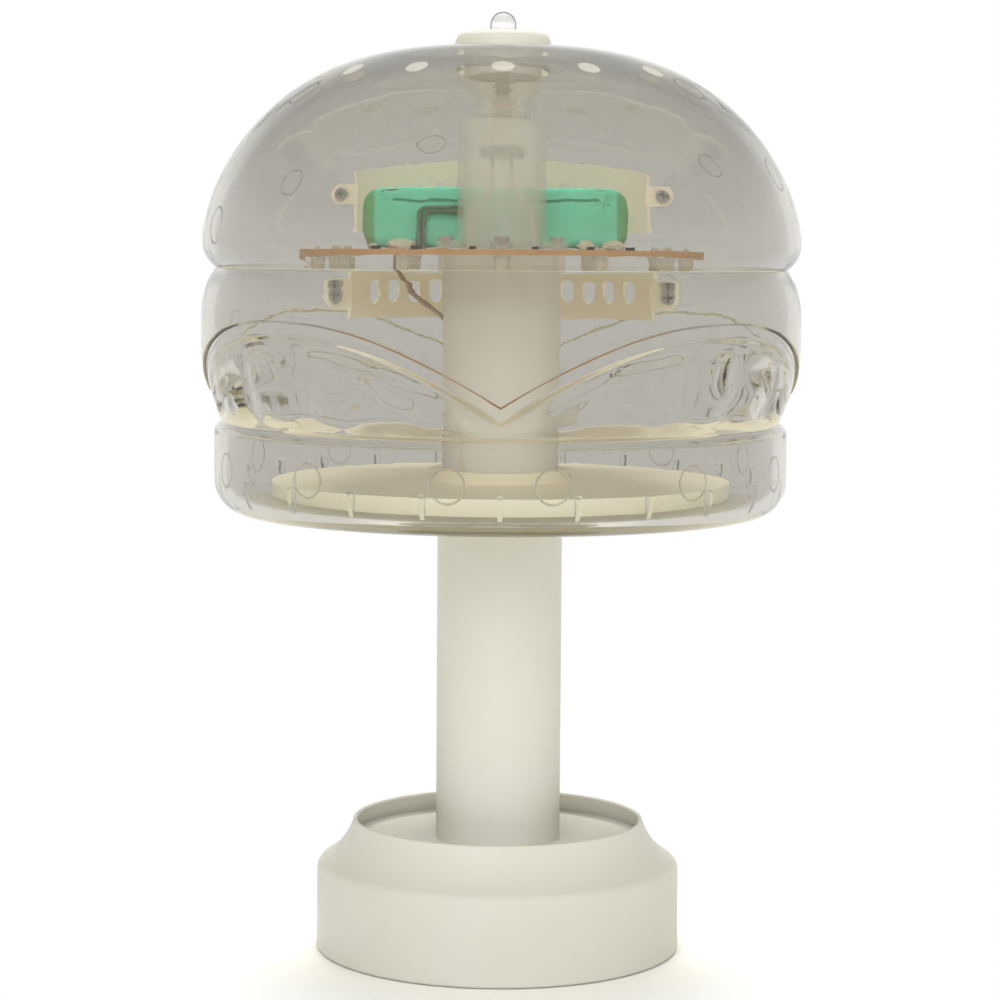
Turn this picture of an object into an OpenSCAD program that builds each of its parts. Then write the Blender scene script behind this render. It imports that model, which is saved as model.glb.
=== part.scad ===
// Table lamp in the shape of a hamburger: three clear mouldings stacked on a
// cream column and a round weighted base, with a lit circuit board, a battery
// pack and a spring push switch inside. Millimetres, +Z up, origin at the
// centre of the rest plane. The front of the lamp faces -Y.

/* [Base] */
// Outer radius of the base at its foot
base_r = 66.5; // [62:0.5:75]
// How far the base wall leans in from the foot to the crisp shoulder
shoulder_taper = 0.3; // [0.1:0.1:1.5]
// Height of the shoulder
shoulder_z = 29.2; // [24:0.1:34]
// Radius of the convex turn above the shoulder
ogee_turn_r = 4.2; // [3:0.1:6]
// Radius of the hollow curve that rises to the rim
ogee_hollow_r = 24; // [21:0.5:27]
// Wall of the base
base_wall = 2.2; // [1.6:0.1:3]
// Wall of the upright rim
rim_wall = 1.5; // [1:0.1:2]
// Rounding of the foot edge
foot_edge_r = 1.2; // [0.5:0.1:2]
// Height of the sunken top face
dish_z = 40.3; // [38:0.1:42]
// Height of the collar above the sunken face
collar_h = 3.5; // [2:0.1:8]
// Gap between the base wall and the table
foot_gap = 0.3; // [0.2:0.1:0.6]
// Height of the rubber foot ring
foot_ring_h = 1; // [0.8:0.1:2]
// Distance from the edge of the base to the middle of the foot ring
foot_ring_inset = 20.5; // [19:0.5:28]
// Width of the foot ring
foot_ring_w = 9; // [5:0.5:12]
// Thickness of the bottom cover
cover_t = 3; // [2.6:0.1:4]
// Height of the steel weight
weight_h = 11; // [6:0.5:14]

/* [Column] */
// Outer radius of the column
column_r = 22.7; // [20:0.1:25]
// Wall of the column
column_wall = 2; // [1.6:0.1:3]
// Height of the flat underside of the lower bun, where the column ends
bun_floor_z = 160; // [130:1:200]
// Thickness of the plate that closes the column at the top
column_cap_t = 3; // [2:0.5:5]
// Radius of the wire passage
wire_bore_r = 8; // [5:0.5:9]
// Length of the screw posts inside the column
post_l = 20; // [12:1:30]

/* [Shells] */
// Wall of the clear mouldings
shell_wall = 4.5; // [3:0.1:5]
// Outer radius of the middle layer
middle_r = 107.5; // [96:0.1:112]
// How far the lower bun stays inside the middle layer
lower_bun_in = 3.9; // [2:0.1:4.6]
// How far the top bun stands outside the middle layer
top_bun_out = 0.3; // [0.1:0.1:2]
// Height of the lower bun
lower_bun_h = 33.4; // [28:0.1:40]
// Radius of the lower bun's bottom corner
lower_turn_r = 12.5; // [8:0.5:14]
// Radius of the lower bun's upper corner
lower_lip_r = 5.2; // [4:0.1:7]
// Depth of the lower crease inside the middle layer
lower_crease_depth = 6.5; // [5.8:0.1:8]
// Height of the middle layer
middle_h = 54.9; // [50:0.1:60]
// Height of the upright stretch of the middle layer
middle_flat_h = 8; // [4:0.5:12]
// Height of the taper below the upright stretch
middle_taper_h = 28.6; // [24:0.1:32]
// Depth of the upper crease inside the middle layer
upper_crease_depth = 4.5; // [3.5:0.1:7]
// Height by which the cheese stands proud of the wall
cheese_t = 1.2; // [0.8:0.1:2]
// Depth of the cheese corners below their arches
cheese_drop = 27; // [20:0.5:32]
// Height of the arches of the cheese above the lower crease
cheese_arch_h = 37.6; // [34:0.1:42]
// Number of lumps round the lower edge of the filling
lump_count = 30; // [20:1:36]
// Radius of one lump
lump_r = 7; // [5:0.5:9]
// Height from the upper crease to the top bun's widest ring
top_bun_swell_h = 9.7; // [8:0.1:14]
// Height from that ring to the top
top_bun_dome_h = 70; // [60:1:80]
// Radius of the well in the crown, inside
well_r = 14.2; // [13:0.1:15.5]
// Depth of the straight part of the well
well_depth = 9.5; // [8:0.1:11]
// Outer radius of the neck below the well
neck_r = 10; // [9:0.1:11]
// Length of the cone between the well and the neck
cone_h = 15; // [12:0.5:18]
// Length of the neck inside the upper tube
neck_l = 10; // [6:0.5:14]
// Height of the tongue that joins one moulding to the next
tongue_h = 2.5; // [1.5:0.1:4]

/* [Tray] */
// Distance from the tray's edge to the rounding of the lower bun
tray_margin = 8.1; // [4:0.1:16]
// Height of the tray above the bun's floor
tray_h = 7.5; // [6:0.5:11]
// Wall of the tray
tray_wall = 2; // [1.6:0.1:3]
// Radius of the raised hub of the tray
hub_r = 26; // [24.5:0.5:30]
// Height of the hub above the tray
hub_h = 4; // [2:0.5:6]
// Radius of the opening in the lower bun's floor
floor_hole_r = 19; // [18.5:0.1:20.5]

/* [Light tubes] */
// Outer radius of the lower light tube
lower_tube_r = 21.2; // [20:0.1:23]
// Outer radius of the inner wire tube
wire_tube_r = 11.7; // [10.5:0.1:12]
// Outer radius of the upper light tube
upper_tube_r = 16; // [14:0.1:17]
// Wall of the light tubes
tube_wall = 2; // [1.2:0.1:2.5]
// Thickness of the foot tabs
tab_t = 2.4; // [1.5:0.1:4]

/* [Circuit] */
// Radius of the circuit board
board_r = 73; // [70:0.5:80]
// Thickness of the circuit board
board_t = 1.6; // [1:0.1:2]
// Height of the board's underside
board_z = 254; // [253:0.5:257]
// Number of lamps in the ring
lamp_count = 12; // [8:1:16]
// Distance from the board's edge to the ring of lamps
lamp_ring_in = 6.5; // [5:0.5:12]
// Radius of one lamp
lamp_r = 2.5; // [1.5:0.1:3]
// Length of one lamp's dome and body
lamp_l = 5.3; // [4:0.1:8.6]

/* [Battery] */
// Diameter of one cell
cell_d = 21.8; // [17:0.1:22.5]
// Length of one cell
cell_l = 34; // [30:0.5:38]
// Number of cells side by side
cell_count = 4; // [2:1:4]
// Distance between cells, centre to centre
cell_pitch = 25; // [23:0.1:25.5]
// How far the pack sits to the left of the middle
pack_shift = 2.4; // [0:0.1:4]
// Thickness of the shrink wrap
wrap_t = 0.6; // [0.3:0.1:1]

/* [Switch] */
// Radius of the push button
button_r = 4.7; // [4:0.1:6]
// Height of the button above the cap
button_h = 6.6; // [5:0.1:9]
// Travel of the button
button_travel = 2; // [1:0.1:2.5]
// Radius of the stem
stem_r = 2.5; // [2:0.1:2.8]
// Outer radius of the switch barrel
barrel_r = 5; // [4.9:0.1:5.4]
// Outer radius of the cap
cap_r = 17.6; // [16.5:0.1:19]
// Height of the cap above the crown
cap_h = 5.6; // [4:0.1:8]
// Diameter of the spring wire
spring_wire_d = 0.6; // [0.4:0.05:0.8]
// Number of turns of the spring
spring_turns = 6; // [4:1:8]

/* [Inner bands] */
// Distance from the outside of the middle layer to the curved bands
band_setback = 21.5; // [20.5:0.5:26]
// Thickness of the bands
band_t = 2; // [1.5:0.1:3]
// Half angle that the upper band spans
upper_band_angle = 42; // [36:1:44]
// Height of the upper band at its ends
upper_band_end_h = 22; // [18:1:26]
// Rise of the upper band's arch in the middle
upper_band_rise = 10; // [6:1:12]
// Number of slots in the upper band
slot_count = 11; // [5:2:13]
// Half angle that the lower band spans
lower_band_angle = 44; // [38:1:46]
// Height of the lower band
lower_band_h = 16; // [10:1:20]
// Number of holes in the lower band
hole_count = 13; // [5:2:15]
// Radius of one hole in the lower band
hole_r = 2.6; // [1.5:0.1:3]

/* [Charging socket] */
// Radius of the plug's bore
plug_r = 3.15; // [2.5:0.05:3.5]
// Depth of the plug's bore
plug_l = 9; // [7:0.5:11]
// Height of the plug's axis above the table
plug_z = 15; // [13.5:0.5:20]

/* [Fits] */
// Clearance between parts that are fixed to each other
fit = 0.15; // [0.05:0.05:0.3]
// Clearance round the sliding stem
slide = 0.1; // [0.05:0.01:0.1]
// Clearance round other moving parts
run = 0.3; // [0.2:0.05:0.5]

/* [Hidden] */
$fn = 96;
eps = 0.01;
touch = 0.05;
relief = 0.1;
far = 300;

// colours
cream = [0.88, 0.86, 0.79];
clear = [0.62, 0.61, 0.58, 0.35];
frost = [0.9, 0.91, 0.9, 0.6];
steel = [0.75, 0.76, 0.78];
board_brown = [0.72, 0.43, 0.2];
wrap_green = [0.36, 0.72, 0.55];

// screw sizes
screw_r = 1.45;
screw_head_r = 2.8;
screw_head_h = 1.7;
pilot_r = 1.5;
screw_post_r = 3.4;
screw_l = 12;

// base levels and radii
shoulder_r = base_r - shoulder_taper;
foot_ring_r = base_r - foot_ring_inset;
foot_ring_bevel = 0.6;
cover_z = foot_ring_h;
cover_top_z = cover_z + cover_t;
dish_floor_t = base_wall;
seam_z = dish_z + collar_h;
ogee_turn_angle = 60;
rim_angle = 16;
hollow_c = [
    shoulder_r - ogee_turn_r + (ogee_turn_r + ogee_hollow_r) * cos(ogee_turn_angle),
    shoulder_z + (ogee_turn_r + ogee_hollow_r) * sin(ogee_turn_angle)
];
rim_c = hollow_c - (ogee_hollow_r + rim_wall / 2) * [cos(rim_angle), sin(rim_angle)];
cover_screw_r = base_r - base_wall - screw_post_r - 2;
cover_screw_count = 4;
column_screw_count = 3;
column_in_r = column_r - column_wall;
post_ring_r = column_in_r - screw_post_r + 0.4;
collar_plate_t = 2.4;
shell_in_r = base_r - base_wall;

// radii of the shells and of what sits in them
lower_bun_r = middle_r - lower_bun_in;
top_bun_r = middle_r + top_bun_out;
lower_crease_r = middle_r - lower_crease_depth;
upper_crease_r = middle_r - upper_crease_depth;
tray_r = lower_bun_r - lower_turn_r - tray_margin;
band_r = middle_r - band_setback;
lamp_ring_r = board_r - lamp_ring_in;

// tray and column top levels
bun_in_z = bun_floor_z + shell_wall;
tray_z = bun_in_z + tray_h;
cup_r = floor_hole_r - fit;
cup_in_r = cup_r - tray_wall;
cup_plate_t = 2.5;
tray_screw_head_r = 2.2;
tray_screw_ring_r = (wire_tube_r + cup_in_r) / 2;

// shell levels
lower_crease_z = bun_floor_z + lower_bun_h;
upper_crease_z = lower_crease_z + middle_h;
swell_z = upper_crease_z + top_bun_swell_h;
crown_z = swell_z + top_bun_dome_h;
lip_lift = lower_lip_r * 0.86;
lip_end_angle = 50;
rib_count = 24;
rib_h = 10;
rib_w = 1.6;
rib_d = 2.4;
lump_lift = 1.2;
lump_lead = 1.6;
lump_h = 13;
lump_low_out = 1.9;
lump_low_h = 2.8;
lump_top_out = 2.6;
lump_top_h = 7.8;
dome_round = 2.9;
dome_rise = 1.6;
tongue_t = 1.4;

// tube levels
board_top_z = board_z + board_t;
cone_top_z = crown_z - well_depth;
neck_top_z = cone_top_z - cone_h;
upper_tube_top_z = neck_top_z;
upper_tube_lid_t = 2;
well_wall = 2.5;
tab_angles = [-90, -10, 190];
tab_screw_r = lower_tube_r - tube_wall / 2;
tab_w = 8;
slot_z = board_z - 24;
inner_slot_z = slot_z - 14;
wire_slot_r = 3.6;
lug_h = 8;
tie_z = board_z - 31.5;
tie_h = 3;
tie_t = 1.1;

// switch levels
cap_top_z = crown_z + cap_h;
cap_plate_t = 2;
cap_skirt_l = 7;
button_z = cap_top_z - 2.6;
button_top_z = cap_top_z + button_h;
barrel_top_z = cap_top_z - 20.8;
barrel_bottom_z = neck_top_z - neck_l - 6;
barrel_in_r = stem_r + 1.8;
barrel_lid_t = 1.5;
barrel_floor_t = 2;
barrel_flange_z = neck_top_z + 1.5;
barrel_flange_t = 1.6;
stem_bottom_z = barrel_top_z - 13.2;
disc_r = barrel_in_r - run;
disc_t = 1.6;
disc_z = barrel_top_z - barrel_lid_t - disc_t - 0.1;
terminal_top_z = disc_z - button_travel - run;
terminal_x = (stem_r + slide + barrel_in_r) / 2;
terminal_r = 0.5;
terminal_bottom_z = barrel_bottom_z - 1.5;
guide_top_z = terminal_top_z - 1;
guide_bottom_z = stem_bottom_z;
spring_r = stem_r + 0.7 + spring_wire_d / 2;
nut_h = 4;
nut_r = 8;

// small parts of the board
lead_half = 1.27;
lead_r = 0.3;
hole_pair = [-lead_half, lead_half];
resistor_count = 6;
resistor_ring_r = 50;
resistor_start = -150;
resistor_step = 24;
resistor_size = [3.2, 1.6, 1];
wire_r = 0.8;
switch_wire_r = 0.7;
switch_wire_x = upper_tube_r - tube_wall - 2.5;

// battery place
cell_z = board_top_z + 0.4 + wrap_t + cell_d / 2;
cell_front_y = upper_tube_r + 2.4;
wrap_front_y = cell_front_y - wrap_t - 0.2;
pack_x = (cell_count - 1) / 2 * cell_pitch;
lead_x = -30.5;
lead_lift = 3.8;

// band places
upper_band_z = board_top_z + 6;
lower_band_drop = 20.3;
lower_band_z = upper_crease_z - lower_band_drop;
ear_boss_r = 4.5;
ear_t = 2.2;
ear_z = upper_band_z + 16;
ear_x = ear_place(upper_band_angle)[0];
ear_y = ear_place(upper_band_angle)[1];
lower_ear_z = lower_band_z + lower_band_h / 2;
lower_ear_x = ear_place(lower_band_angle)[0];
lower_ear_y = ear_place(lower_band_angle)[1];
band_screw_l = 8;

// charging socket place
socket_w = 10;
socket_h = 11;
socket_l = 15;
socket_y = shell_in_r - 1.8 - socket_l;
charge_board_z = plug_z - socket_h / 2 - board_t;
charge_board_w = 32;
charge_board_l = 22;
weight_r = cover_screw_r - screw_post_r - 2;
weight_in_r = 24;

// ---- helpers ----

// x and y of a screw ear that stands just past the end of a band of this half angle
function ear_place(half_angle) =
    [band_r * sin(half_angle) + ear_boss_r + run, (band_r - band_t) * cos(half_angle)];

// points on an arc round c from angle a0 to a1
function arc(c, r, a0, a1, n = 12) =
    [for (i = [0:n]) let (a = a0 + (a1 - a0) * i / n) c + r * [cos(a), sin(a)]];

// radius of an arc that leaves an upright line and moves in by dx over dy
function flare_r(dx, dy) = (dx * dx + dy * dy) / (2 * dx);

function unit(v) = v / norm(v);

// direction of a route at its point i
function heading(p, i) = unit(p[min(i + 1, len(p) - 1)] - p[max(i - 1, 0)]);

// corners of one ring of a swept tube
function ring(p, i, r, side, sides) =
    let (t = heading(p, i), u = unit(cross(t, side)), v = cross(u, t))
    [for (k = [0:sides - 1]) p[i] + r * (cos(360 * k / sides) * u + sin(360 * k / sides) * v)];

// a round tube along a route; side is any direction that the route never takes
module sweep(p, r, side, sides = 8) {
    n = len(p);
    pts = [for (i = [0:n - 1]) each ring(p, i, r, side, sides)];
    walls = [for (i = [0:n - 2], k = [0:sides - 1])
        let (k2 = (k + 1) % sides)
        [i * sides + k, i * sides + k2, (i + 1) * sides + k2, (i + 1) * sides + k]];
    ends = [[for (k = [sides - 1:-1:0]) k], [for (k = [0:sides - 1]) (n - 1) * sides + k]];
    polyhedron(pts, concat(walls, ends), convexity = 6);
}

// a Catmull-Rom curve through a route's points, n steps between points
function smooth(p, n = 4) = [
    for (i = [0:len(p) - 2], k = [0:n - (i == len(p) - 2 ? 0 : 1)])
        let (
            a = p[max(i - 1, 0)], b = p[i], c = p[i + 1], d = p[min(i + 2, len(p) - 1)],
            t = k / n
        )
        (2 * b + (c - a) * t + (2 * a - 5 * b + 4 * c - d) * t * t
            + (3 * b - a - 3 * c + d) * t * t * t) / 2
];

module at_ring(count, r, start = 0) {
    for (i = [0:count - 1]) rotate(start + i * 360 / count) translate([r, 0, 0]) children();
}

module tube(r, wall, h) {
    difference() {
        cylinder(r = r, h = h);
        translate([0, 0, -eps]) cylinder(r = r - wall, h = h + 2 * eps);
    }
}

// pan head screw, head at the origin and above, shaft down
module screw(l = screw_l, head_r = screw_head_r) {
    translate([0, 0, -l]) cylinder(r = screw_r, h = l);
    difference() {
        cylinder(r = head_r, h = screw_head_h);
        translate([0, 0, screw_head_h * 0.45]) {
            cube([head_r * 1.2, 0.7, screw_head_h * 1.2], center = true);
            cube([0.7, head_r * 1.2, screw_head_h * 1.2], center = true);
        }
    }
}

// ---- base ----

// the outer curve of the base from the foot to the rim, moved in by inset
function ogee(inset, end_angle) = concat(
    arc([shoulder_r - ogee_turn_r, shoulder_z], ogee_turn_r - inset, 0, ogee_turn_angle),
    arc(hollow_c, ogee_hollow_r + inset, 180 + ogee_turn_angle, 180 + end_angle)
);

// angle on the hollow curve, moved in by inset, at height z
function hollow_angle(inset, z) = asin((hollow_c[1] - z) / (ogee_hollow_r + inset));

module base_solid() {
    rotate_extrude() polygon(concat(
        [[0, foot_gap]],
        arc([base_r - foot_edge_r, foot_gap + foot_edge_r], foot_edge_r, -90, 0, 6),
        ogee(0, rim_angle),
        arc(rim_c, rim_wall / 2, rim_angle, 180 + rim_angle, 8),
        arc(hollow_c, ogee_hollow_r + rim_wall, 180 + rim_angle,
            180 + hollow_angle(rim_wall, dish_z), 6),
        [[0, dish_z]]
    ));
}

module base_hollow() {
    top_z = dish_z - dish_floor_t;
    rotate_extrude() polygon(concat(
        [[0, -eps], [shell_in_r, -eps], [shell_in_r, shoulder_z - ogee_turn_r]],
        ogee(base_wall, hollow_angle(base_wall, top_z)),
        [[0, top_z]]
    ));
}

module base_shell() {
    color(cream) difference() {
        union() {
            difference() {
                base_solid();
                base_hollow();
            }
            translate([0, 0, dish_z - dish_floor_t])
                cylinder(r = column_r, h = seam_z - dish_z + dish_floor_t);
            // posts for the cover screws, into the solid shoulder
            intersection() {
                base_solid();
                at_ring(cover_screw_count, cover_screw_r, 45)
                    translate([0, 0, cover_top_z])
                        cylinder(r = screw_post_r, h = shoulder_z + ogee_turn_r - cover_top_z);
            }
        }
        // room under the collar plate, and the wire passage
        translate([0, 0, dish_z - dish_floor_t - eps])
            cylinder(r = column_in_r, h = collar_h + dish_floor_t - collar_plate_t + eps);
        cylinder(r = wire_bore_r, h = seam_z + 1);
        at_ring(column_screw_count, post_ring_r, 30) cylinder(r = screw_r + fit, h = seam_z + 1);
        at_ring(cover_screw_count, cover_screw_r, 45) cylinder(r = pilot_r, h = cover_top_z + screw_l + 1);
        // opening for the charging socket's nose
        translate([0, 0, plug_z]) rotate([-90, 0, 0]) cylinder(r = plug_r + 1.5 + fit, h = base_r + 1);
    }
}

module base_cover() {
    color(cream) difference() {
        union() {
            translate([0, 0, cover_z]) cylinder(r = shell_in_r - fit, h = cover_t);
            // pillars under the charging board
            for (x = [-1, 1], y = [0, 1])
                translate([x * (charge_board_w / 2 - 4), socket_y - 6 + y * 14, cover_top_z - eps])
                    cylinder(r = 2.5, h = charge_board_z - cover_top_z + eps);
        }
        at_ring(cover_screw_count, cover_screw_r, 45) {
            cylinder(r = screw_r + fit, h = cover_top_z + 1);
            cylinder(r = screw_head_r + run, h = cover_z + screw_head_h);
        }
    }
}

module base_weight() {
    color(steel) translate([0, 0, cover_top_z]) difference() {
        tube(weight_r, weight_r - weight_in_r, weight_h);
        // room for the charging board and its socket
        translate([-charge_board_w / 2 - 2, 0, -eps]) cube([charge_board_w + 4, base_r, weight_h + 1]);
    }
}

module foot_ring() {
    color([0.2, 0.2, 0.2]) rotate_extrude() polygon([
        [foot_ring_r - foot_ring_w / 2, foot_ring_h],
        [foot_ring_r - foot_ring_w / 2 + foot_ring_bevel, 0],
        [foot_ring_r + foot_ring_w / 2 - foot_ring_bevel, 0],
        [foot_ring_r + foot_ring_w / 2, foot_ring_h]
    ]);
}

module cover_screws() {
    color(steel) at_ring(cover_screw_count, cover_screw_r, 45)
        translate([0, 0, cover_z + screw_head_h]) rotate([180, 0, 0]) screw();
}

module column_screws() {
    color(steel) at_ring(column_screw_count, post_ring_r, 30)
        translate([0, 0, seam_z - collar_plate_t]) rotate([180, 0, 0]) screw();
}

module charge_board() {
    color([0.13, 0.4, 0.25]) translate([-charge_board_w / 2, socket_y - 10, charge_board_z])
        cube([charge_board_w, charge_board_l, board_t]);
}

module charge_socket() {
    nose_y = base_r - 0.8;
    color([0.12, 0.12, 0.13]) difference() {
        union() {
            translate([-socket_w / 2, socket_y, plug_z - socket_h / 2]) cube([socket_w, socket_l, socket_h]);
            translate([0, socket_y + socket_l - eps, plug_z]) rotate([-90, 0, 0])
                cylinder(r = plug_r + 1.5, h = nose_y - socket_y - socket_l);
        }
        translate([0, nose_y - plug_l, plug_z]) rotate([-90, 0, 0]) difference() {
            cylinder(r = plug_r, h = plug_l + 1);
            cylinder(r = 1, h = plug_l - 1);
        }
    }
}

// ---- column ----

module column_tube() {
    color(cream) difference() {
        union() {
            translate([0, 0, seam_z]) tube(column_r, column_wall, bun_floor_z - seam_z);
            translate([0, 0, bun_floor_z - column_cap_t]) cylinder(r = column_r, h = column_cap_t);
            intersection() {
                union() {
                    at_ring(column_screw_count, post_ring_r, 30)
                        translate([0, 0, seam_z + relief]) cylinder(r = screw_post_r, h = post_l);
                    at_ring(column_screw_count, tray_screw_ring_r, 90)
                        translate([0, 0, bun_floor_z - post_l]) cylinder(r = screw_post_r, h = post_l);
                }
                cylinder(r = column_r, h = far);
            }
        }
        cylinder(r = wire_bore_r, h = far);
        at_ring(column_screw_count, post_ring_r, 30)
            translate([0, 0, seam_z - 1]) cylinder(r = pilot_r, h = post_l);
        at_ring(column_screw_count, tray_screw_ring_r, 90)
            translate([0, 0, bun_floor_z - post_l + 1]) cylinder(r = pilot_r, h = post_l);
        // key notch at the seam
        translate([-column_r - 1, -1.2, seam_z - eps]) cube([2, 2.4, 1.2]);
    }
}

// ---- tray in the lower bun ----

module bottom_tray() {
    color(cream) difference() {
        union() {
            // disc and skirt
            translate([0, 0, tray_z - tray_wall]) cylinder(r = tray_r, h = tray_wall);
            translate([0, 0, bun_in_z]) tube(tray_r, tray_wall, tray_h);
            // cup through the bun's floor, standing on the column
            translate([0, 0, bun_floor_z]) cylinder(r = cup_r, h = tray_z - bun_floor_z);
            // raised hub that holds the lower light tube
            translate([0, 0, tray_z - eps]) cylinder(r = hub_r, h = hub_h + eps);
        }
        translate([0, 0, bun_floor_z + cup_plate_t]) cylinder(r = cup_in_r, h = far);
        translate([0, 0, tray_z]) cylinder(r = lower_tube_r + fit, h = far);
        translate([0, 0, bun_floor_z - 1]) cylinder(r = wire_bore_r, h = far);
        at_ring(column_screw_count, tray_screw_ring_r, 90)
            translate([0, 0, bun_floor_z - 1]) cylinder(r = screw_r + fit, h = far);
    }
}

module tray_screws() {
    color(steel) at_ring(column_screw_count, tray_screw_ring_r, 90)
        translate([0, 0, bun_floor_z + cup_plate_t]) screw(head_r = tray_screw_head_r);
}

// ---- clear shells ----

// outer curve of the lower bun, moved in by inset
function lower_bun_curve(inset) = concat(
    arc([lower_bun_r - lower_turn_r, bun_floor_z + lower_turn_r], lower_turn_r - inset, -90, 0),
    arc([lower_bun_r - lower_lip_r, lower_crease_z - lip_lift], lower_lip_r - inset, 0, lip_end_angle, 6)
);

module bottom_bun_shell() {
    lip_in = lower_crease_r - shell_wall;
    color(clear) {
        rotate_extrude() polygon(concat(
            [[floor_hole_r, bun_floor_z]], lower_bun_curve(0),
            [[lower_crease_r, lower_crease_z], [lip_in, lower_crease_z]],
            [for (i = [len(lower_bun_curve(0)) - 1:-1:0]) lower_bun_curve(shell_wall)[i]],
            [[floor_hole_r, bun_in_z]]
        ));
        // stiffening ribs low on the wall
        intersection() {
            at_ring(rib_count, lower_bun_r - shell_wall - rib_d, 90)
                translate([0, -rib_w / 2, bun_in_z]) cube([rib_d + 1, rib_w, rib_h]);
            rotate_extrude() polygon(concat(
                [[0, bun_floor_z]], lower_bun_curve(shell_wall / 2), [[0, lower_crease_z]]
            ));
        }
    }
}

// a pair of bosses from a band's ears back to the wall, which curve outlines
module band_bosses(x, y, z, curve) {
    intersection() {
        for (s = [-1, 1]) translate([s * x, y + ear_t, z]) rotate([-90, 0, 0])
            cylinder(r = ear_boss_r, h = far);
        rotate_extrude() polygon(concat(
            [[0, curve[0][1]]], curve, [[0, curve[len(curve) - 1][1]]]
        ));
    }
}

// the tongue of an upper moulding, that drops inside the lip below it at height z
module tongue(lip_in_r, z) {
    rotate_extrude() polygon([
        [lip_in_r - fit - tongue_t, z - tongue_h], [lip_in_r - fit, z - tongue_h], [lip_in_r - fit, z],
        [lip_in_r + 1, z], [lip_in_r + 1.5, z + 2.5], [lip_in_r - fit - tongue_t + 1, z + 2.5],
        [lip_in_r - fit - tongue_t, z + 1]
    ]);
}

// outer curve of the middle layer, moved out by proud
function middle_curve(proud) =
    let (
        taper_r = flare_r(middle_r - lower_crease_r, middle_taper_h),
        turn_h = middle_h - middle_taper_h - middle_flat_h,
        turn_r = flare_r(middle_r - upper_crease_r, turn_h),
        taper_z = lower_crease_z + middle_taper_h,
        turn_z = upper_crease_z - turn_h
    )
    concat(
        arc([middle_r - taper_r, taper_z], taper_r + proud, -asin(middle_taper_h / taper_r), 0, 10),
        arc([middle_r - turn_r, turn_z], turn_r + proud, 0, asin(turn_h / turn_r), 10)
    );

// a ring of the middle wall, from proud outside to inset inside
module middle_ring(proud, inset) {
    outer = middle_curve(proud);
    inner = middle_curve(-inset);
    rotate_extrude() polygon(concat(outer, [for (i = [len(inner) - 1:-1:0]) inner[i]]));
}

// the space below one arch of the cheese, seen straight on
module arch_cutter() {
    arch_w = (middle_r + cheese_t) * sin(45);
    arch_z = lower_crease_z + cheese_arch_h;
    steps = 12;
    rotate([90, 0, 90]) translate([0, 0, middle_r / 2]) linear_extrude(middle_r) polygon(concat(
        [for (i = [-steps:steps]) let (s = i / steps)
            [s * arch_w, arch_z - cheese_drop * pow(abs(s), 2.4)]],
        [[arch_w, lower_crease_z - 10], [-arch_w, lower_crease_z - 10]]
    ));
}

// the ring that the lumps of the filling are cut from: their outer slope and their back
module lump_limit() {
    base_z = lower_crease_z + lump_lift;
    rotate_extrude() polygon([
        [lower_crease_r - shell_wall, base_z], [lower_crease_r, base_z],
        [lower_crease_r + lump_low_out, base_z + lump_low_h], [lower_crease_r + lump_top_out, base_z + lump_top_h],
        [lower_crease_r - shell_wall + lump_top_out, base_z + lump_top_h]
    ]);
}

module middle_shell() {
    color(clear) {
        difference() {
            union() {
                difference() {
                    middle_ring(cheese_t, shell_wall / 2);
                    for (i = [0:3]) rotate(45 + i * 90) arch_cutter();
                    // the cheese stops short of the upper crease
                    translate([0, 0, upper_crease_z - 1]) cylinder(r = far, h = 10);
                    translate([0, 0, lower_crease_z - 1]) cylinder(r = far, h = 10);
                }
                middle_ring(0, shell_wall);
                // lumps of the filling, rising out of the taper
                intersection() {
                    at_ring(lump_count, lower_crease_r + lump_lead - lump_r, 360 / lump_count / 2)
                        translate([0, 0, lower_crease_z + lump_lift]) cylinder(r = lump_r, h = lump_h);
                    lump_limit();
                }
                // bosses for the lower band
                band_bosses(lower_ear_x, lower_ear_y, lower_ear_z, middle_curve(-shell_wall / 2));
                tongue(lower_crease_r - shell_wall, lower_crease_z);
            }
            for (s = [-1, 1]) translate([s * lower_ear_x, lower_ear_y, lower_ear_z])
                rotate([-90, 0, 0]) cylinder(r = pilot_r, h = band_screw_l + 1);
        }
    }
}

// outer curve of the top bun, from the crease to the well's edge
function dome_r(h) = top_bun_r * pow(1 - pow(h / top_bun_dome_h, dome_rise), 1 / dome_round);

function top_bun_curve(edge_r, steps = 26) =
    let (
        swell_r = flare_r(top_bun_r - upper_crease_r, top_bun_swell_h),
        end = pow(1 - pow(edge_r / top_bun_r, dome_round), 1 / dome_rise)
    )
    concat(
        arc([top_bun_r - swell_r, swell_z], swell_r, -asin(top_bun_swell_h / swell_r), 0, 8),
        [for (i = [1:steps]) let (h = top_bun_dome_h * end * sin(90 * i / steps)) [dome_r(h), swell_z + h]]
    );

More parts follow.
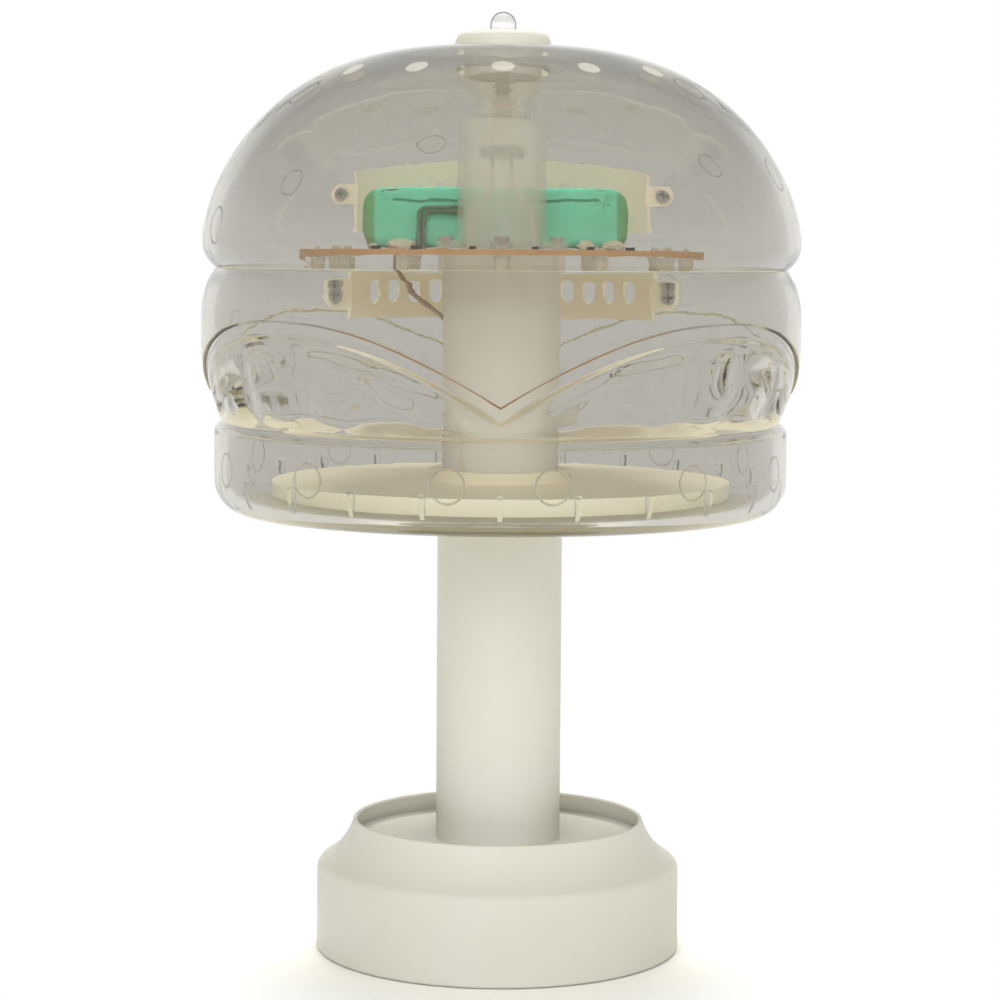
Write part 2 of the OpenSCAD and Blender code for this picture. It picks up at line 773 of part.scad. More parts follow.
module top_bun_shell() {
    outer = top_bun_curve(well_r + well_wall);
    neck_in_r = neck_r - well_wall;
    well_out_r = well_r + well_wall;
    inner = [for (p = top_bun_curve(well_out_r)) [
        p[0] - shell_wall * min(1, max(0, (p[0] - well_out_r) / 40)),
        p[1] - shell_wall * (p[1] > swell_z ? pow((p[1] - swell_z) / top_bun_dome_h, 1.2) : 0)
    ]];
    color(clear) difference() {
        union() {
            rotate_extrude() polygon(concat(
                outer,
                [[well_r, crown_z - 0.4], [well_r, cone_top_z], [neck_in_r, neck_top_z],
                    [neck_in_r, neck_top_z - neck_l], [neck_r, neck_top_z - neck_l],
                    [neck_r, neck_top_z], [well_out_r, cone_top_z]],
                [for (i = [len(inner) - 1:-1:0]) inner[i]]
            ));
            band_bosses(ear_x, ear_y, ear_z, [for (p = outer) p - [shell_wall / 2, shell_wall / 2]]);
            tongue(upper_crease_r - shell_wall, upper_crease_z);
        }
        for (s = [-1, 1]) translate([s * ear_x, ear_y, ear_z])
            rotate([-90, 0, 0]) cylinder(r = pilot_r, h = band_screw_l + 1);
    }
}

// ---- light tubes ----

module lower_light_tube() {
    color(frost) difference() {
        union() {
            translate([0, 0, tray_z]) tube(lower_tube_r, tube_wall, board_z - tray_z);
            // lugs for the screws that come down through the board
            for (a = tab_angles) rotate(a) translate([tab_screw_r, 0, board_z - lug_h])
                cylinder(r = screw_post_r - 0.4, h = lug_h);
        }
        for (a = tab_angles) rotate(a) translate([tab_screw_r, 0, board_z - lug_h + 1])
            cylinder(r = pilot_r, h = lug_h);
        translate([0, 0, slot_z]) rotate([0, -90, 0]) cylinder(r = wire_slot_r, h = far);
    }
}

module wire_tube() {
    foot_z = bun_floor_z + cup_plate_t;
    color(frost) difference() {
        translate([0, 0, foot_z]) tube(wire_tube_r, tube_wall * 0.75, board_z - foot_z);
        translate([0, 0, inner_slot_z]) rotate([0, -90, 0]) cylinder(r = wire_slot_r, h = far);
    }
}

module wire_tie() {
    color([0.25, 0.14, 0.08]) translate([0, 0, tie_z]) {
        tube(wire_tube_r + fit + tie_t, tie_t, tie_h);
        translate([-4, -wire_tube_r - fit - tie_t - 3.2, -0.6]) cube([8.4, 3.4, tie_h + 1.2]);
    }
}

module upper_light_tube() {
    color(frost) difference() {
        union() {
            translate([0, 0, board_top_z]) cylinder(r = upper_tube_r, h = upper_tube_top_z - board_top_z);
            for (a = tab_angles) rotate(a) {
                translate([upper_tube_r - tube_wall / 2, -tab_w / 2, board_top_z + relief])
                    cube([tab_screw_r - upper_tube_r + tube_wall / 2, tab_w, tab_t - relief]);
                translate([tab_screw_r, 0, board_top_z + relief]) cylinder(r = tab_w / 2, h = tab_t - relief);
            }
        }
        translate([0, 0, board_top_z - eps])
            cylinder(r = upper_tube_r - tube_wall, h = upper_tube_top_z - board_top_z - upper_tube_lid_t);
        translate([0, 0, board_top_z]) cylinder(r = neck_r + fit, h = far);
        for (a = tab_angles) rotate(a) translate([tab_screw_r, 0, board_top_z - 1])
            cylinder(r = screw_r + fit, h = tab_t + 2);
    }
}

module tube_screws() {
    color(steel) for (a = tab_angles) rotate(a)
        translate([tab_screw_r, 0, board_top_z + tab_t]) screw(l = board_t + tab_t + lug_h - 2);
}

// ---- circuit ----

module circuit_board() {
    color(board_brown) difference() {
        translate([0, 0, board_z]) cylinder(r = board_r, h = board_t);
        translate([0, 0, board_z - 1]) cylinder(r = wire_bore_r + 1, h = board_t + 2);
        for (a = tab_angles) rotate(a) translate([tab_screw_r, 0, board_z - 1])
            cylinder(r = screw_r + fit, h = board_t + 2);
        at_ring(lamp_count, lamp_ring_r, 30) for (y = hole_pair)
            translate([0, y, board_z - 1]) cylinder(r = lead_r + 0.1, h = board_t + 2, $fn = 16);
    }
}

module led_lamps() {
    body_l = lamp_l - lamp_r;
    color([0.95, 0.95, 0.9]) at_ring(lamp_count, lamp_ring_r, 30) {
        translate([0, 0, board_z - 0.3 - body_l]) cylinder(r = lamp_r, h = body_l, $fn = 32);
        translate([0, 0, board_z - 0.3 - body_l]) sphere(r = lamp_r, $fn = 32);
        translate([0, 0, board_z - 0.9]) cylinder(r = lamp_r + 0.4, h = 0.6, $fn = 32);
        for (y = hole_pair) {
            translate([0, y, board_z - 0.4]) cylinder(r = lead_r, h = board_t + 1.6, $fn = 16);
            translate([0, y, board_top_z]) cylinder(r = lead_r + 0.6, h = 0.7, $fn = 16);
        }
    }
}

// flat resistors on the top of the board, in front of the battery
module board_parts() {
    color([0.12, 0.12, 0.13]) translate([0, 0, board_top_z])
        for (i = [0:resistor_count - 1]) rotate(resistor_start + i * resistor_step)
            translate([resistor_ring_r, 0, 0]) cube(resistor_size);
}

// ---- battery ----

module battery_cells() {
    color([0.55, 0.56, 0.58]) for (i = [0:cell_count - 1])
        translate([i * cell_pitch - pack_x - pack_shift, cell_front_y, cell_z]) rotate([-90, 0, 0]) {
            cylinder(r = cell_d / 2, h = cell_l);
            translate([0, 0, cell_l - eps]) cylinder(r = 4, h = 1);
        }
}

// a block round all the cells, larger by grow, with round sides, from y0 to y1
module pack_block(grow, y0, y1) {
    r = cell_d / 2 + grow;
    translate([-pack_shift, y0, cell_z]) {
        for (s = [-1, 1]) translate([s * pack_x, 0, 0]) rotate([-90, 0, 0]) cylinder(r = r, h = y1 - y0);
        translate([-pack_x, 0, -r]) cube([2 * pack_x, y1 - y0, 2 * r]);
    }
}

module battery_wrap() {
    back_y = cell_front_y + cell_l + 1.2;
    color(wrap_green) difference() {
        pack_block(wrap_t, wrap_front_y, back_y + wrap_t);
        pack_block(0.05, wrap_front_y + wrap_t, back_y);
    }
}

// out of the film, to the left along the pack's front and down to the board; inset keeps two leads apart
function lead_route(inset) =
    let (x = lead_x + inset, top_z = cell_z + lead_lift - inset, front_y = wrap_front_y - 2.2)
    [
        [-pack_shift - cell_pitch / 2, wrap_front_y - touch, top_z],
        [-pack_shift - cell_pitch / 2, wrap_front_y - 1.2, top_z],
        [-pack_shift - cell_pitch / 2 - 1.5, front_y, top_z], [x + 4, front_y, top_z],
        [x + 1, front_y, top_z - 1], [x, front_y, top_z - 4], [x, front_y, board_top_z + 3],
        [x, front_y, board_top_z + touch]
    ];

module battery_leads() {
    color([0.7, 0.12, 0.1]) sweep(smooth(lead_route(0)), wire_r, [1, -1, 0.1]);
    color([0.1, 0.1, 0.1]) sweep(smooth(lead_route(2 * wire_r + 0.2)), wire_r, [1, -1, 0.1]);
}

// ---- wiring ----

// from the board, in at the sides of both tubes, and down to the charging board
function charge_route(dy) = [
    [-38, dy - 5, board_z - touch], [-38, dy - 5, board_z - 6], [-34, dy - 4, board_z - 14],
    [-28, dy - 2, slot_z + 5], [-21, dy, slot_z], [-16, dy, slot_z - 6],
    [-12, dy, slot_z - 13], [-6, dy, slot_z - 20], [-3, dy, slot_z - 34],
    [-2, dy, 170], [-2, dy, 130], [-2, dy, 80], [-2, dy, 46],
    [-4 - 2 * dy, dy + 3, 30], [-7 - 2 * dy, dy + 14, 18], [-9 - 2 * dy, dy + socket_y - 11, 17],
    [-9 - 2 * dy, dy + socket_y - 8, charge_board_z + 6],
    [-9 - 2 * dy, dy + socket_y - 8, charge_board_z + board_t + touch]
];

module charge_wires() {
    color([0.55, 0.2, 0.12]) sweep(smooth(charge_route(-1.1)), wire_r, [0.3, 1, 0.05]);
    color([0.25, 0.15, 0.12]) sweep(smooth(charge_route(1.1)), wire_r, [0.3, 1, 0.05]);
}

module switch_wires() {
    color([0.8, 0.78, 0.72]) for (s = [-1, 1]) sweep(smooth([
        [s * switch_wire_x, -4, board_top_z + touch], [s * switch_wire_x, -4, board_top_z + 5],
        [s * (switch_wire_x - 1.5), -2, board_top_z + 14],
        [s * 6, 0, terminal_bottom_z - 11], [s * terminal_x, 0, terminal_bottom_z - 5],
        [s * terminal_x, 0, terminal_bottom_z - touch]
    ]), switch_wire_r, [0.1, 1, 0.1]);
}

// ---- switch and cap ----

module switch_housing() {
    color(frost) difference() {
        union() {
            translate([0, 0, barrel_bottom_z]) cylinder(r = barrel_r, h = barrel_top_z - barrel_bottom_z);
            // flange that seats in the cone
            translate([0, 0, barrel_flange_z])
                cylinder(r1 = flange_r(0), r2 = flange_r(barrel_flange_t), h = barrel_flange_t);
        }
        // room below the guide for the stem's end, and room above it for the disc
        translate([0, 0, barrel_bottom_z + barrel_floor_t])
            cylinder(r = barrel_in_r, h = guide_bottom_z - barrel_bottom_z - barrel_floor_t);
        translate([0, 0, guide_top_z])
            cylinder(r = barrel_in_r, h = barrel_top_z - barrel_lid_t - guide_top_z);
        translate([0, 0, guide_bottom_z - 1]) cylinder(r = stem_r + slide, h = far);
        for (s = [-1, 1]) translate([s * terminal_x, 0, barrel_bottom_z - 1])
            cylinder(r = terminal_r + touch, h = guide_top_z - barrel_bottom_z + 2, $fn = 24);
    }
}

// radius inside the cone at height h above the flange's underside
function flange_r(h) =
    neck_r - well_wall - fit + (well_r - neck_r + well_wall) * (barrel_flange_z + h - neck_top_z) / cone_h;

module switch_nut() {
    color(steel) translate([0, 0, neck_top_z - neck_l - nut_h]) difference() {
        cylinder(r = nut_r, h = nut_h, $fn = 6);
        translate([0, 0, -1]) cylinder(r = barrel_r + 0.05, h = nut_h + 2);
    }
}

module switch_terminals() {
    color([0.85, 0.68, 0.35]) for (s = [-1, 1]) translate([s * terminal_x, 0, terminal_bottom_z])
        cylinder(r = terminal_r, h = terminal_top_z - terminal_bottom_z, $fn = 24);
}

module switch_stem() {
    color(steel) translate([0, 0, stem_bottom_z]) difference() {
        cylinder(r = stem_r, h = button_z - stem_bottom_z);
        translate([0, 0, -1]) cylinder(r = 0.8, h = 4);
    }
}

module contact_disc() {
    color([0.8, 0.5, 0.38]) translate([0, 0, disc_z]) tube(disc_r, disc_r - stem_r, disc_t);
}

module switch_spring() {
    spring_h = button_z - barrel_top_z - spring_wire_d;
    steps = 12;
    color(steel) sweep([for (i = [0:spring_turns * steps]) let (a = i * 360 / steps)
        [spring_r * cos(a), spring_r * sin(a),
            barrel_top_z + spring_wire_d / 2 + spring_h * i / (spring_turns * steps)]],
        spring_wire_d / 2, [0, 0, 1], 6);
}

module switch_button() {
    straight_h = button_top_z - button_r - button_z;
    color([0.85, 0.86, 0.88]) rotate_extrude() polygon(concat(
        [[0, button_z], [button_r - 0.3, button_z], [button_r, button_z + 0.3]],
        arc([0, button_z + straight_h], button_r, 0, 90, 14)
    ));
}

module top_cap() {
    hole_r2 = button_r + run;
    color(cream) rotate_extrude() polygon([
        [hole_r2, cap_top_z - cap_plate_t], [hole_r2, cap_top_z - 0.1], [hole_r2 + 0.3, cap_top_z],
        [cap_r * 0.4, cap_top_z - 0.1], [cap_r * 0.69, cap_top_z - 0.5], [cap_r * 0.87, cap_top_z - 1.3],
        [cap_r * 0.92, cap_top_z - 2], [cap_r * 0.96, cap_top_z - 3.4], [cap_r, crown_z + 0.1],
        [cap_r, crown_z - 0.1], [well_r - fit, crown_z - 0.1], [well_r - fit, crown_z - cap_skirt_l],
        [well_r - fit - 1.6, crown_z - cap_skirt_l], [well_r - fit - 1.6, crown_z + 0.8],
        [hole_r2 + 5, cap_top_z - cap_plate_t]
    ]);
}

// ---- inner bands ----

// a curved strip round the back, seen from the front
module back_strip(z, h, half_angle) {
    rotate(90 - half_angle) translate([0, 0, z]) rotate_extrude(angle = 2 * half_angle)
        translate([band_r - band_t, 0]) square([band_t, h]);
}

module upper_band() {
    slot_w = 3;
    slot_angle = 5.6;
    color(cream) difference() {
        union() {
            intersection() {
                back_strip(upper_band_z, upper_band_end_h + upper_band_rise, upper_band_angle);
                // arched top
                rotate([-90, 0, 0]) translate([0, 0, 1]) linear_extrude(far / 2) polygon(concat(
                    [[far / 2, -upper_band_z + 1], [-far / 2, -upper_band_z + 1]],
                    [for (i = [-12:12]) [i * 6, -upper_band_z - upper_band_end_h
                        - upper_band_rise * (1 - pow(i / 12, 2))]]
                ));
            }
            for (s = [-1, 1]) translate([s * ear_x, ear_y, ear_z]) ear(s);
        }
        for (i = [-(slot_count - 1) / 2:(slot_count - 1) / 2])
            rotate(90 + i * slot_angle) translate([band_r - band_t - 1, 0, upper_band_z + 5]) {
                slot_h = upper_band_end_h - 12 + (upper_band_rise - 2) * (1 - pow(i / slot_count * 2, 2));
                translate([0, -slot_w / 2, 0]) cube([band_t + 2, slot_w, slot_h]);
                for (z = [0, slot_h]) translate([0, 0, z]) rotate([0, 90, 0])
                    cylinder(r = slot_w / 2, h = band_t + 2, $fn = 24);
            }
        for (s = [-1, 1]) translate([s * ear_x, ear_y - 1, ear_z])
            rotate([-90, 0, 0]) cylinder(r = screw_r + fit, h = ear_t + 2);
    }
}

// a screw ear, with the web that ties it to the end of the strip; s is the side
module ear(s) {
    rotate([-90, 0, 0]) cylinder(r = ear_boss_r, h = ear_t);
    web = ear_boss_r + run + band_t;
    translate([s > 0 ? -web : 0, 0, -ear_boss_r]) cube([web, ear_t, 2 * ear_boss_r]);
}

module lower_band() {
    hole_angle = 6;
    color(cream) difference() {
        union() {
            back_strip(lower_band_z, lower_band_h, lower_band_angle);
            for (s = [-1, 1]) translate([s * lower_ear_x, lower_ear_y, lower_ear_z]) ear(s);
        }
        for (i = [-(hole_count - 1) / 2:(hole_count - 1) / 2])
            rotate(90 + i * hole_angle) translate([band_r - band_t - 1, 0, lower_ear_z]) rotate([0, 90, 0])
                cylinder(r = hole_r, h = band_t + 2, $fn = 32);
        for (s = [-1, 1]) translate([s * lower_ear_x, lower_ear_y - 1, lower_ear_z])
            rotate([-90, 0, 0]) cylinder(r = screw_r + fit, h = ear_t + 2);
    }
}

module upper_band_screws() {
    color(steel) for (s = [-1, 1]) translate([s * ear_x, ear_y, ear_z])
        rotate([90, 0, 0]) screw(l = band_screw_l);
}

module lower_band_screws() {
    color(steel) for (s = [-1, 1]) translate([s * lower_ear_x, lower_ear_y, lower_ear_z])
        rotate([90, 0, 0]) screw(l = band_screw_l);
}

base_shell();
base_cover();
base_weight();
foot_ring();
cover_screws();
column_screws();
charge_board();
charge_socket();
column_tube();
bottom_tray();
tray_screws();
bottom_bun_shell();
middle_shell();
top_bun_shell();
lower_light_tube();
wire_tube();
wire_tie();
circuit_board();
led_lamps();
board_parts();
upper_light_tube();
tube_screws();
battery_cells();
battery_wrap();
battery_leads();
charge_wires();
switch_wires();
switch_housing();
switch_nut();
switch_terminals();
switch_stem();
contact_disc();
switch_spring();
switch_button();
top_cap();
upper_band();
lower_band();
upper_band_screws();
lower_band_screws();
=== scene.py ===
import math
import bpy
import bmesh
from mathutils import Matrix, Vector, noise


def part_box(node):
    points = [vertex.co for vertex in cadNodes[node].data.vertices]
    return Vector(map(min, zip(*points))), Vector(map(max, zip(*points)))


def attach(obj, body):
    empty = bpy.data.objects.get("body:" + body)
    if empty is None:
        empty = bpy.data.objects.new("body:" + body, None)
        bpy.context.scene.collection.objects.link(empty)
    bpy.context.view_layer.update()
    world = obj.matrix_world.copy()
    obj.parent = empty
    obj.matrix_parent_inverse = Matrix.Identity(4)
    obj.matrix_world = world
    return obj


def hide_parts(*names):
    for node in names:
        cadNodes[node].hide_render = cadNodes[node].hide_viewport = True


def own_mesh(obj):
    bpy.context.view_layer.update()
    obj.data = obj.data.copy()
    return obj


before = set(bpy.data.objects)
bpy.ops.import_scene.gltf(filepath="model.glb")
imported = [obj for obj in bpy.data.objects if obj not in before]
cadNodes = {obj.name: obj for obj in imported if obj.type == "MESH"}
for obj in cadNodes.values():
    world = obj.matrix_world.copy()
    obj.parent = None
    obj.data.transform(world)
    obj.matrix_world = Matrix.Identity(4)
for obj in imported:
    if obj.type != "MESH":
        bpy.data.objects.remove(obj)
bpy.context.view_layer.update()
scene = bpy.context.scene
mm = 0.001
print("frame loaded:", len(cadNodes), "nodes")

cameraSetup = {
    "place": (0, -1.0287, 0.2558),
    "pitchDown": 5.08,  # degrees below the horizon
    "roll": 0.4,
    "lens": 102.1,
    "sensor": 36,
}


def makeCamera(setup):
    data = bpy.data.cameras.new("camera")
    data.sensor_width = setup["sensor"]
    data.lens = setup["lens"]
    data.clip_end = 60
    camera = bpy.data.objects.new("camera", data)
    tilt = Matrix.Rotation(math.radians(90 - setup["pitchDown"]), 4, "X")
    roll = Matrix.Rotation(math.radians(setup["roll"]), 4, "Z")
    camera.matrix_world = Matrix.Translation(setup["place"]) @ tilt @ roll
    scene.collection.objects.link(camera)
    scene.camera = camera


makeCamera(cameraSetup)
print("camera placed")

# node helpers


def addNode(tree, kind, **settings):
    made = tree.nodes.new(kind)
    for key, value in settings.items():
        setattr(made, key, value)
    return made


def join(tree, source, target):
    tree.links.new(source, target)


def setInputs(target, **values):
    for key, value in values.items():
        target.inputs[key.replace("_", " ")].default_value = value


# studio

studio = {
    "paleLevel": 1.0,  # what the camera and clear parts see round the lamp
    "highLevel": 0.5,  # the same, overhead
    "paleUpTo": 0.12,  # sine of the elevation where the room starts to turn from pale to high
    "highFrom": 0.5,
    "ambient": 0.35,  # what lights the lamp from all round
    "ambientColor": (1, 0.96, 0.75, 1),
    "floorRadius": 8,
    "shadowRadius": 0.066,  # the floor is plain and shaded inside this radius
    "blendRadius": 0.135,  # and has the backdrop's level outside this one
    "floorColor": (0.97, 0.97, 0.96, 1),
    "keyPlace": (-0.3, -2.2, 1.65),
    "keySize": 1.8,
    "keyPower": 40,
    "fillPlace": (0.9, -2.1, 0.9),
    "fillSize": 2.4,
    "fillPower": 13,
    "topPlace": (0, 0.9, 2.1),
    "topSize": 1.0,
    "topPower": 50,
    "aim": (0, 0, 0.17),
}


def backgroundRays(tree):
    # 1 for the rays that show the backdrop, 0 for those that light the lamp
    path = addNode(tree, "ShaderNodeLightPath")
    first = addNode(tree, "ShaderNodeMath", operation="ADD", use_clamp=True)
    second = addNode(tree, "ShaderNodeMath", operation="ADD", use_clamp=True)
    join(tree, path.outputs["Is Camera Ray"], first.inputs[0])
    join(tree, path.outputs["Is Glossy Ray"], first.inputs[1])
    join(tree, first.outputs[0], second.inputs[0])
    join(tree, path.outputs["Is Transmission Ray"], second.inputs[1])
    return second.outputs[0]


def makeWorld(setup):
    world = bpy.data.worlds.new("studioWorld")
    scene.world = world
    world.use_nodes = True
    tree = world.node_tree
    tree.nodes.clear()
    place = addNode(tree, "ShaderNodeTexCoord")
    parts = addNode(tree, "ShaderNodeSeparateXYZ")
    height = addNode(tree, "ShaderNodeMapRange", interpolation_type="SMOOTHSTEP")
    setInputs(
        height, From_Min=setup["paleUpTo"], From_Max=setup["highFrom"], To_Min=setup["paleLevel"],
        To_Max=setup["highLevel"],
    )
    seen = addNode(tree, "ShaderNodeBackground")
    light = addNode(tree, "ShaderNodeBackground")
    setInputs(light, Color=setup["ambientColor"], Strength=setup["ambient"])
    setInputs(seen, Color=(1, 1, 1, 1))
    mix = addNode(tree, "ShaderNodeMixShader")
    out = addNode(tree, "ShaderNodeOutputWorld")
    join(tree, place.outputs["Generated"], parts.inputs[0])
    join(tree, parts.outputs["Z"], height.inputs["Value"])
    join(tree, height.outputs["Result"], seen.inputs["Strength"])
    join(tree, backgroundRays(tree), mix.inputs[0])
    join(tree, light.outputs[0], mix.inputs[1])
    join(tree, seen.outputs[0], mix.inputs[2])
    join(tree, mix.outputs[0], out.inputs["Surface"])


def makeFloor(setup):
    bm = bmesh.new()
    bmesh.ops.create_circle(bm, cap_ends=True, segments=96, radius=setup["floorRadius"])
    mesh = bpy.data.meshes.new("floor")
    bm.to_mesh(mesh)
    bm.free()
    floor = bpy.data.objects.new("floor", mesh)
    scene.collection.objects.link(floor)
    material = bpy.data.materials.new("paleFloor")
    material.use_nodes = True
    tree = material.node_tree
    tree.nodes.clear()
    place = addNode(tree, "ShaderNodeTexCoord")
    far = addNode(tree, "ShaderNodeVectorMath", operation="LENGTH")
    fade = addNode(tree, "ShaderNodeMapRange", interpolation_type="SMOOTHSTEP")
    setInputs(fade, From_Min=setup["shadowRadius"], From_Max=setup["blendRadius"])
    both = addNode(tree, "ShaderNodeMath", operation="MULTIPLY")
    matte = addNode(tree, "ShaderNodeBsdfDiffuse")
    setInputs(matte, Color=setup["floorColor"])
    glow = addNode(tree, "ShaderNodeEmission")
    setInputs(glow, Strength=setup["paleLevel"])
    mix = addNode(tree, "ShaderNodeMixShader")
    out = addNode(tree, "ShaderNodeOutputMaterial")
    join(tree, place.outputs["Object"], far.inputs[0])
    join(tree, far.outputs["Value"], fade.inputs["Value"])
    join(tree, fade.outputs["Result"], both.inputs[0])
    join(tree, backgroundRays(tree), both.inputs[1])
    join(tree, both.outputs[0], mix.inputs[0])
    join(tree, matte.outputs[0], mix.inputs[1])
    join(tree, glow.outputs[0], mix.inputs[2])
    join(tree, mix.outputs[0], out.inputs["Surface"])
    mesh.materials.append(material)


def makeLamp(name, place, aim, size, power):
    data = bpy.data.lights.new(name, "AREA")
    data.size = size
    data.energy = power
    lamp = bpy.data.objects.new(name, data)
    lamp.location = place
    lamp.rotation_euler = (Vector(aim) - Vector(place)).to_track_quat("-Z", "Y").to_euler()
    lamp.visible_glossy = False  # the clear parts mirror the plain room only
    lamp.visible_transmission = False
    scene.collection.objects.link(lamp)


makeWorld(studio)
makeFloor(studio)
for lampName in ("key", "top", "fill"):
    place, size, power = (studio[lampName + kind] for kind in ("Place", "Size", "Power"))
    makeLamp(lampName + "Lamp", place, studio["aim"], size, power)
scene.view_settings.view_transform = "Standard"
scene.cycles.max_bounces = 24
scene.cycles.transmission_bounces = 24
scene.cycles.glossy_bounces = 12
scene.cycles.transparent_max_bounces = 32
print("studio ready")

# materials

groupSockets = {
    "Vector": "NodeSocketVector",
    "Color": "NodeSocketColor",
    "Aged Color": "NodeSocketColor",
    "Aged Amount": "NodeSocketFloat",
    "Patch Scale": "NodeSocketFloat",
    "Grain Scale": "NodeSocketFloat",
    "Scratch Amount": "NodeSocketFloat",
    "Roughness": "NodeSocketFloat",
}
agedLook = {
    "patchFrom": 0.35,
    "patchTo": 0.7,
    "hairScale": (55, 55, 900),
    "hairTurn": (0.5, 0.35, 0),
    "hairFrom": 0.66,
    "hairTo": 0.72,
    "patchRoughness": 0.08,  # what a full patch and a full scratch add to the roughness
    "hairRoughness": 0.25,
    "hairHeight": -0.6,
}


def makeAgedGroup(setup):
    # soft yellowed patches, fine moulded grain and a few hairline scratches
    group = bpy.data.node_groups.new("agedSurface", "ShaderNodeTree")
    for name, kind in groupSockets.items():
        group.interface.new_socket(name=name, in_out="INPUT", socket_type=kind)
    for name, kind in (("Color", "NodeSocketColor"), ("Roughness", "NodeSocketFloat"), ("Height", "NodeSocketFloat")):
        group.interface.new_socket(name=name, in_out="OUTPUT", socket_type=kind)
    given = addNode(group, "NodeGroupInput")
    out = addNode(group, "NodeGroupOutput")
    patch = addNode(group, "ShaderNodeTexNoise")
    setInputs(patch, Detail=3, Roughness=0.55)
    patchMask = addNode(group, "ShaderNodeMapRange")
    setInputs(patchMask, From_Min=setup["patchFrom"], From_Max=setup["patchTo"])
    patchAmount = addNode(group, "ShaderNodeMath", operation="MULTIPLY")
    colorMix = addNode(group, "ShaderNodeMix", data_type="RGBA")
    grain = addNode(group, "ShaderNodeTexNoise")
    setInputs(grain, Detail=2, Roughness=0.5)
    stretch = addNode(group, "ShaderNodeMapping")
    setInputs(stretch, Scale=setup["hairScale"], Rotation=setup["hairTurn"])
    hair = addNode(group, "ShaderNodeTexNoise")
    setInputs(hair, Scale=1, Detail=1)
    hairMask = addNode(group, "ShaderNodeMapRange")
    setInputs(hairMask, From_Min=setup["hairFrom"], From_Max=setup["hairTo"])
    hairAmount = addNode(group, "ShaderNodeMath", operation="MULTIPLY")
    roughPatch = addNode(group, "ShaderNodeMath", operation="MULTIPLY_ADD")
    roughPatch.inputs[1].default_value = setup["patchRoughness"]
    roughHair = addNode(group, "ShaderNodeMath", operation="MULTIPLY_ADD", use_clamp=True)
    roughHair.inputs[1].default_value = setup["hairRoughness"]
    height = addNode(group, "ShaderNodeMath", operation="MULTIPLY_ADD")
    height.inputs[1].default_value = setup["hairHeight"]
    join(group, given.outputs["Vector"], patch.inputs["Vector"])
    join(group, given.outputs["Patch Scale"], patch.inputs["Scale"])
    join(group, patch.outputs["Fac"], patchMask.inputs["Value"])
    join(group, patchMask.outputs["Result"], patchAmount.inputs[0])
    join(group, given.outputs["Aged Amount"], patchAmount.inputs[1])
    join(group, patchAmount.outputs[0], colorMix.inputs["Factor"])
    join(group, given.outputs["Color"], colorMix.inputs[6])
    join(group, given.outputs["Aged Color"], colorMix.inputs[7])
    join(group, given.outputs["Vector"], grain.inputs["Vector"])
    join(group, given.outputs["Grain Scale"], grain.inputs["Scale"])
    join(group, given.outputs["Vector"], stretch.inputs["Vector"])
    join(group, stretch.outputs["Vector"], hair.inputs["Vector"])
    join(group, hair.outputs["Fac"], hairMask.inputs["Value"])
    join(group, hairMask.outputs["Result"], hairAmount.inputs[0])
    join(group, given.outputs["Scratch Amount"], hairAmount.inputs[1])
    join(group, patchMask.outputs["Result"], roughPatch.inputs[0])
    join(group, given.outputs["Roughness"], roughPatch.inputs[2])
    join(group, hairAmount.outputs[0], roughHair.inputs[0])
    join(group, roughPatch.outputs[0], roughHair.inputs[2])
    join(group, hairAmount.outputs[0], height.inputs[0])
    join(group, grain.outputs["Fac"], height.inputs[2])
    join(group, colorMix.outputs[2], out.inputs["Color"])
    join(group, roughHair.outputs[0], out.inputs["Roughness"])
    join(group, height.outputs[0], out.inputs["Height"])
    return group


agedGroup = makeAgedGroup(agedLook)


def agedMaterial(name, color, aged, agedAmount, patchScale, grainScale, grainDepth, scratch, roughness, **plain):
    material = bpy.data.materials.new(name)
    material.use_nodes = True
    tree = material.node_tree
    shader = tree.nodes["Principled BSDF"]
    place = addNode(tree, "ShaderNodeTexCoord")
    surface = addNode(tree, "ShaderNodeGroup", node_tree=agedGroup)
    setInputs(
        surface, Color=(*color, 1), Aged_Color=(*aged, 1), Aged_Amount=agedAmount, Patch_Scale=patchScale,
        Grain_Scale=grainScale, Scratch_Amount=scratch, Roughness=roughness,
    )
    bump = addNode(tree, "ShaderNodeBump")
    setInputs(bump, Strength=1, Distance=grainDepth)
    join(tree, place.outputs["Object"], surface.inputs["Vector"])
    join(tree, surface.outputs["Color"], shader.inputs["Base Color"])
    join(tree, surface.outputs["Roughness"], shader.inputs["Roughness"])
    join(tree, surface.outputs["Height"], bump.inputs["Height"])
    join(tree, bump.outputs["Normal"], shader.inputs["Normal"])
    setInputs(shader, **plain)
    return material


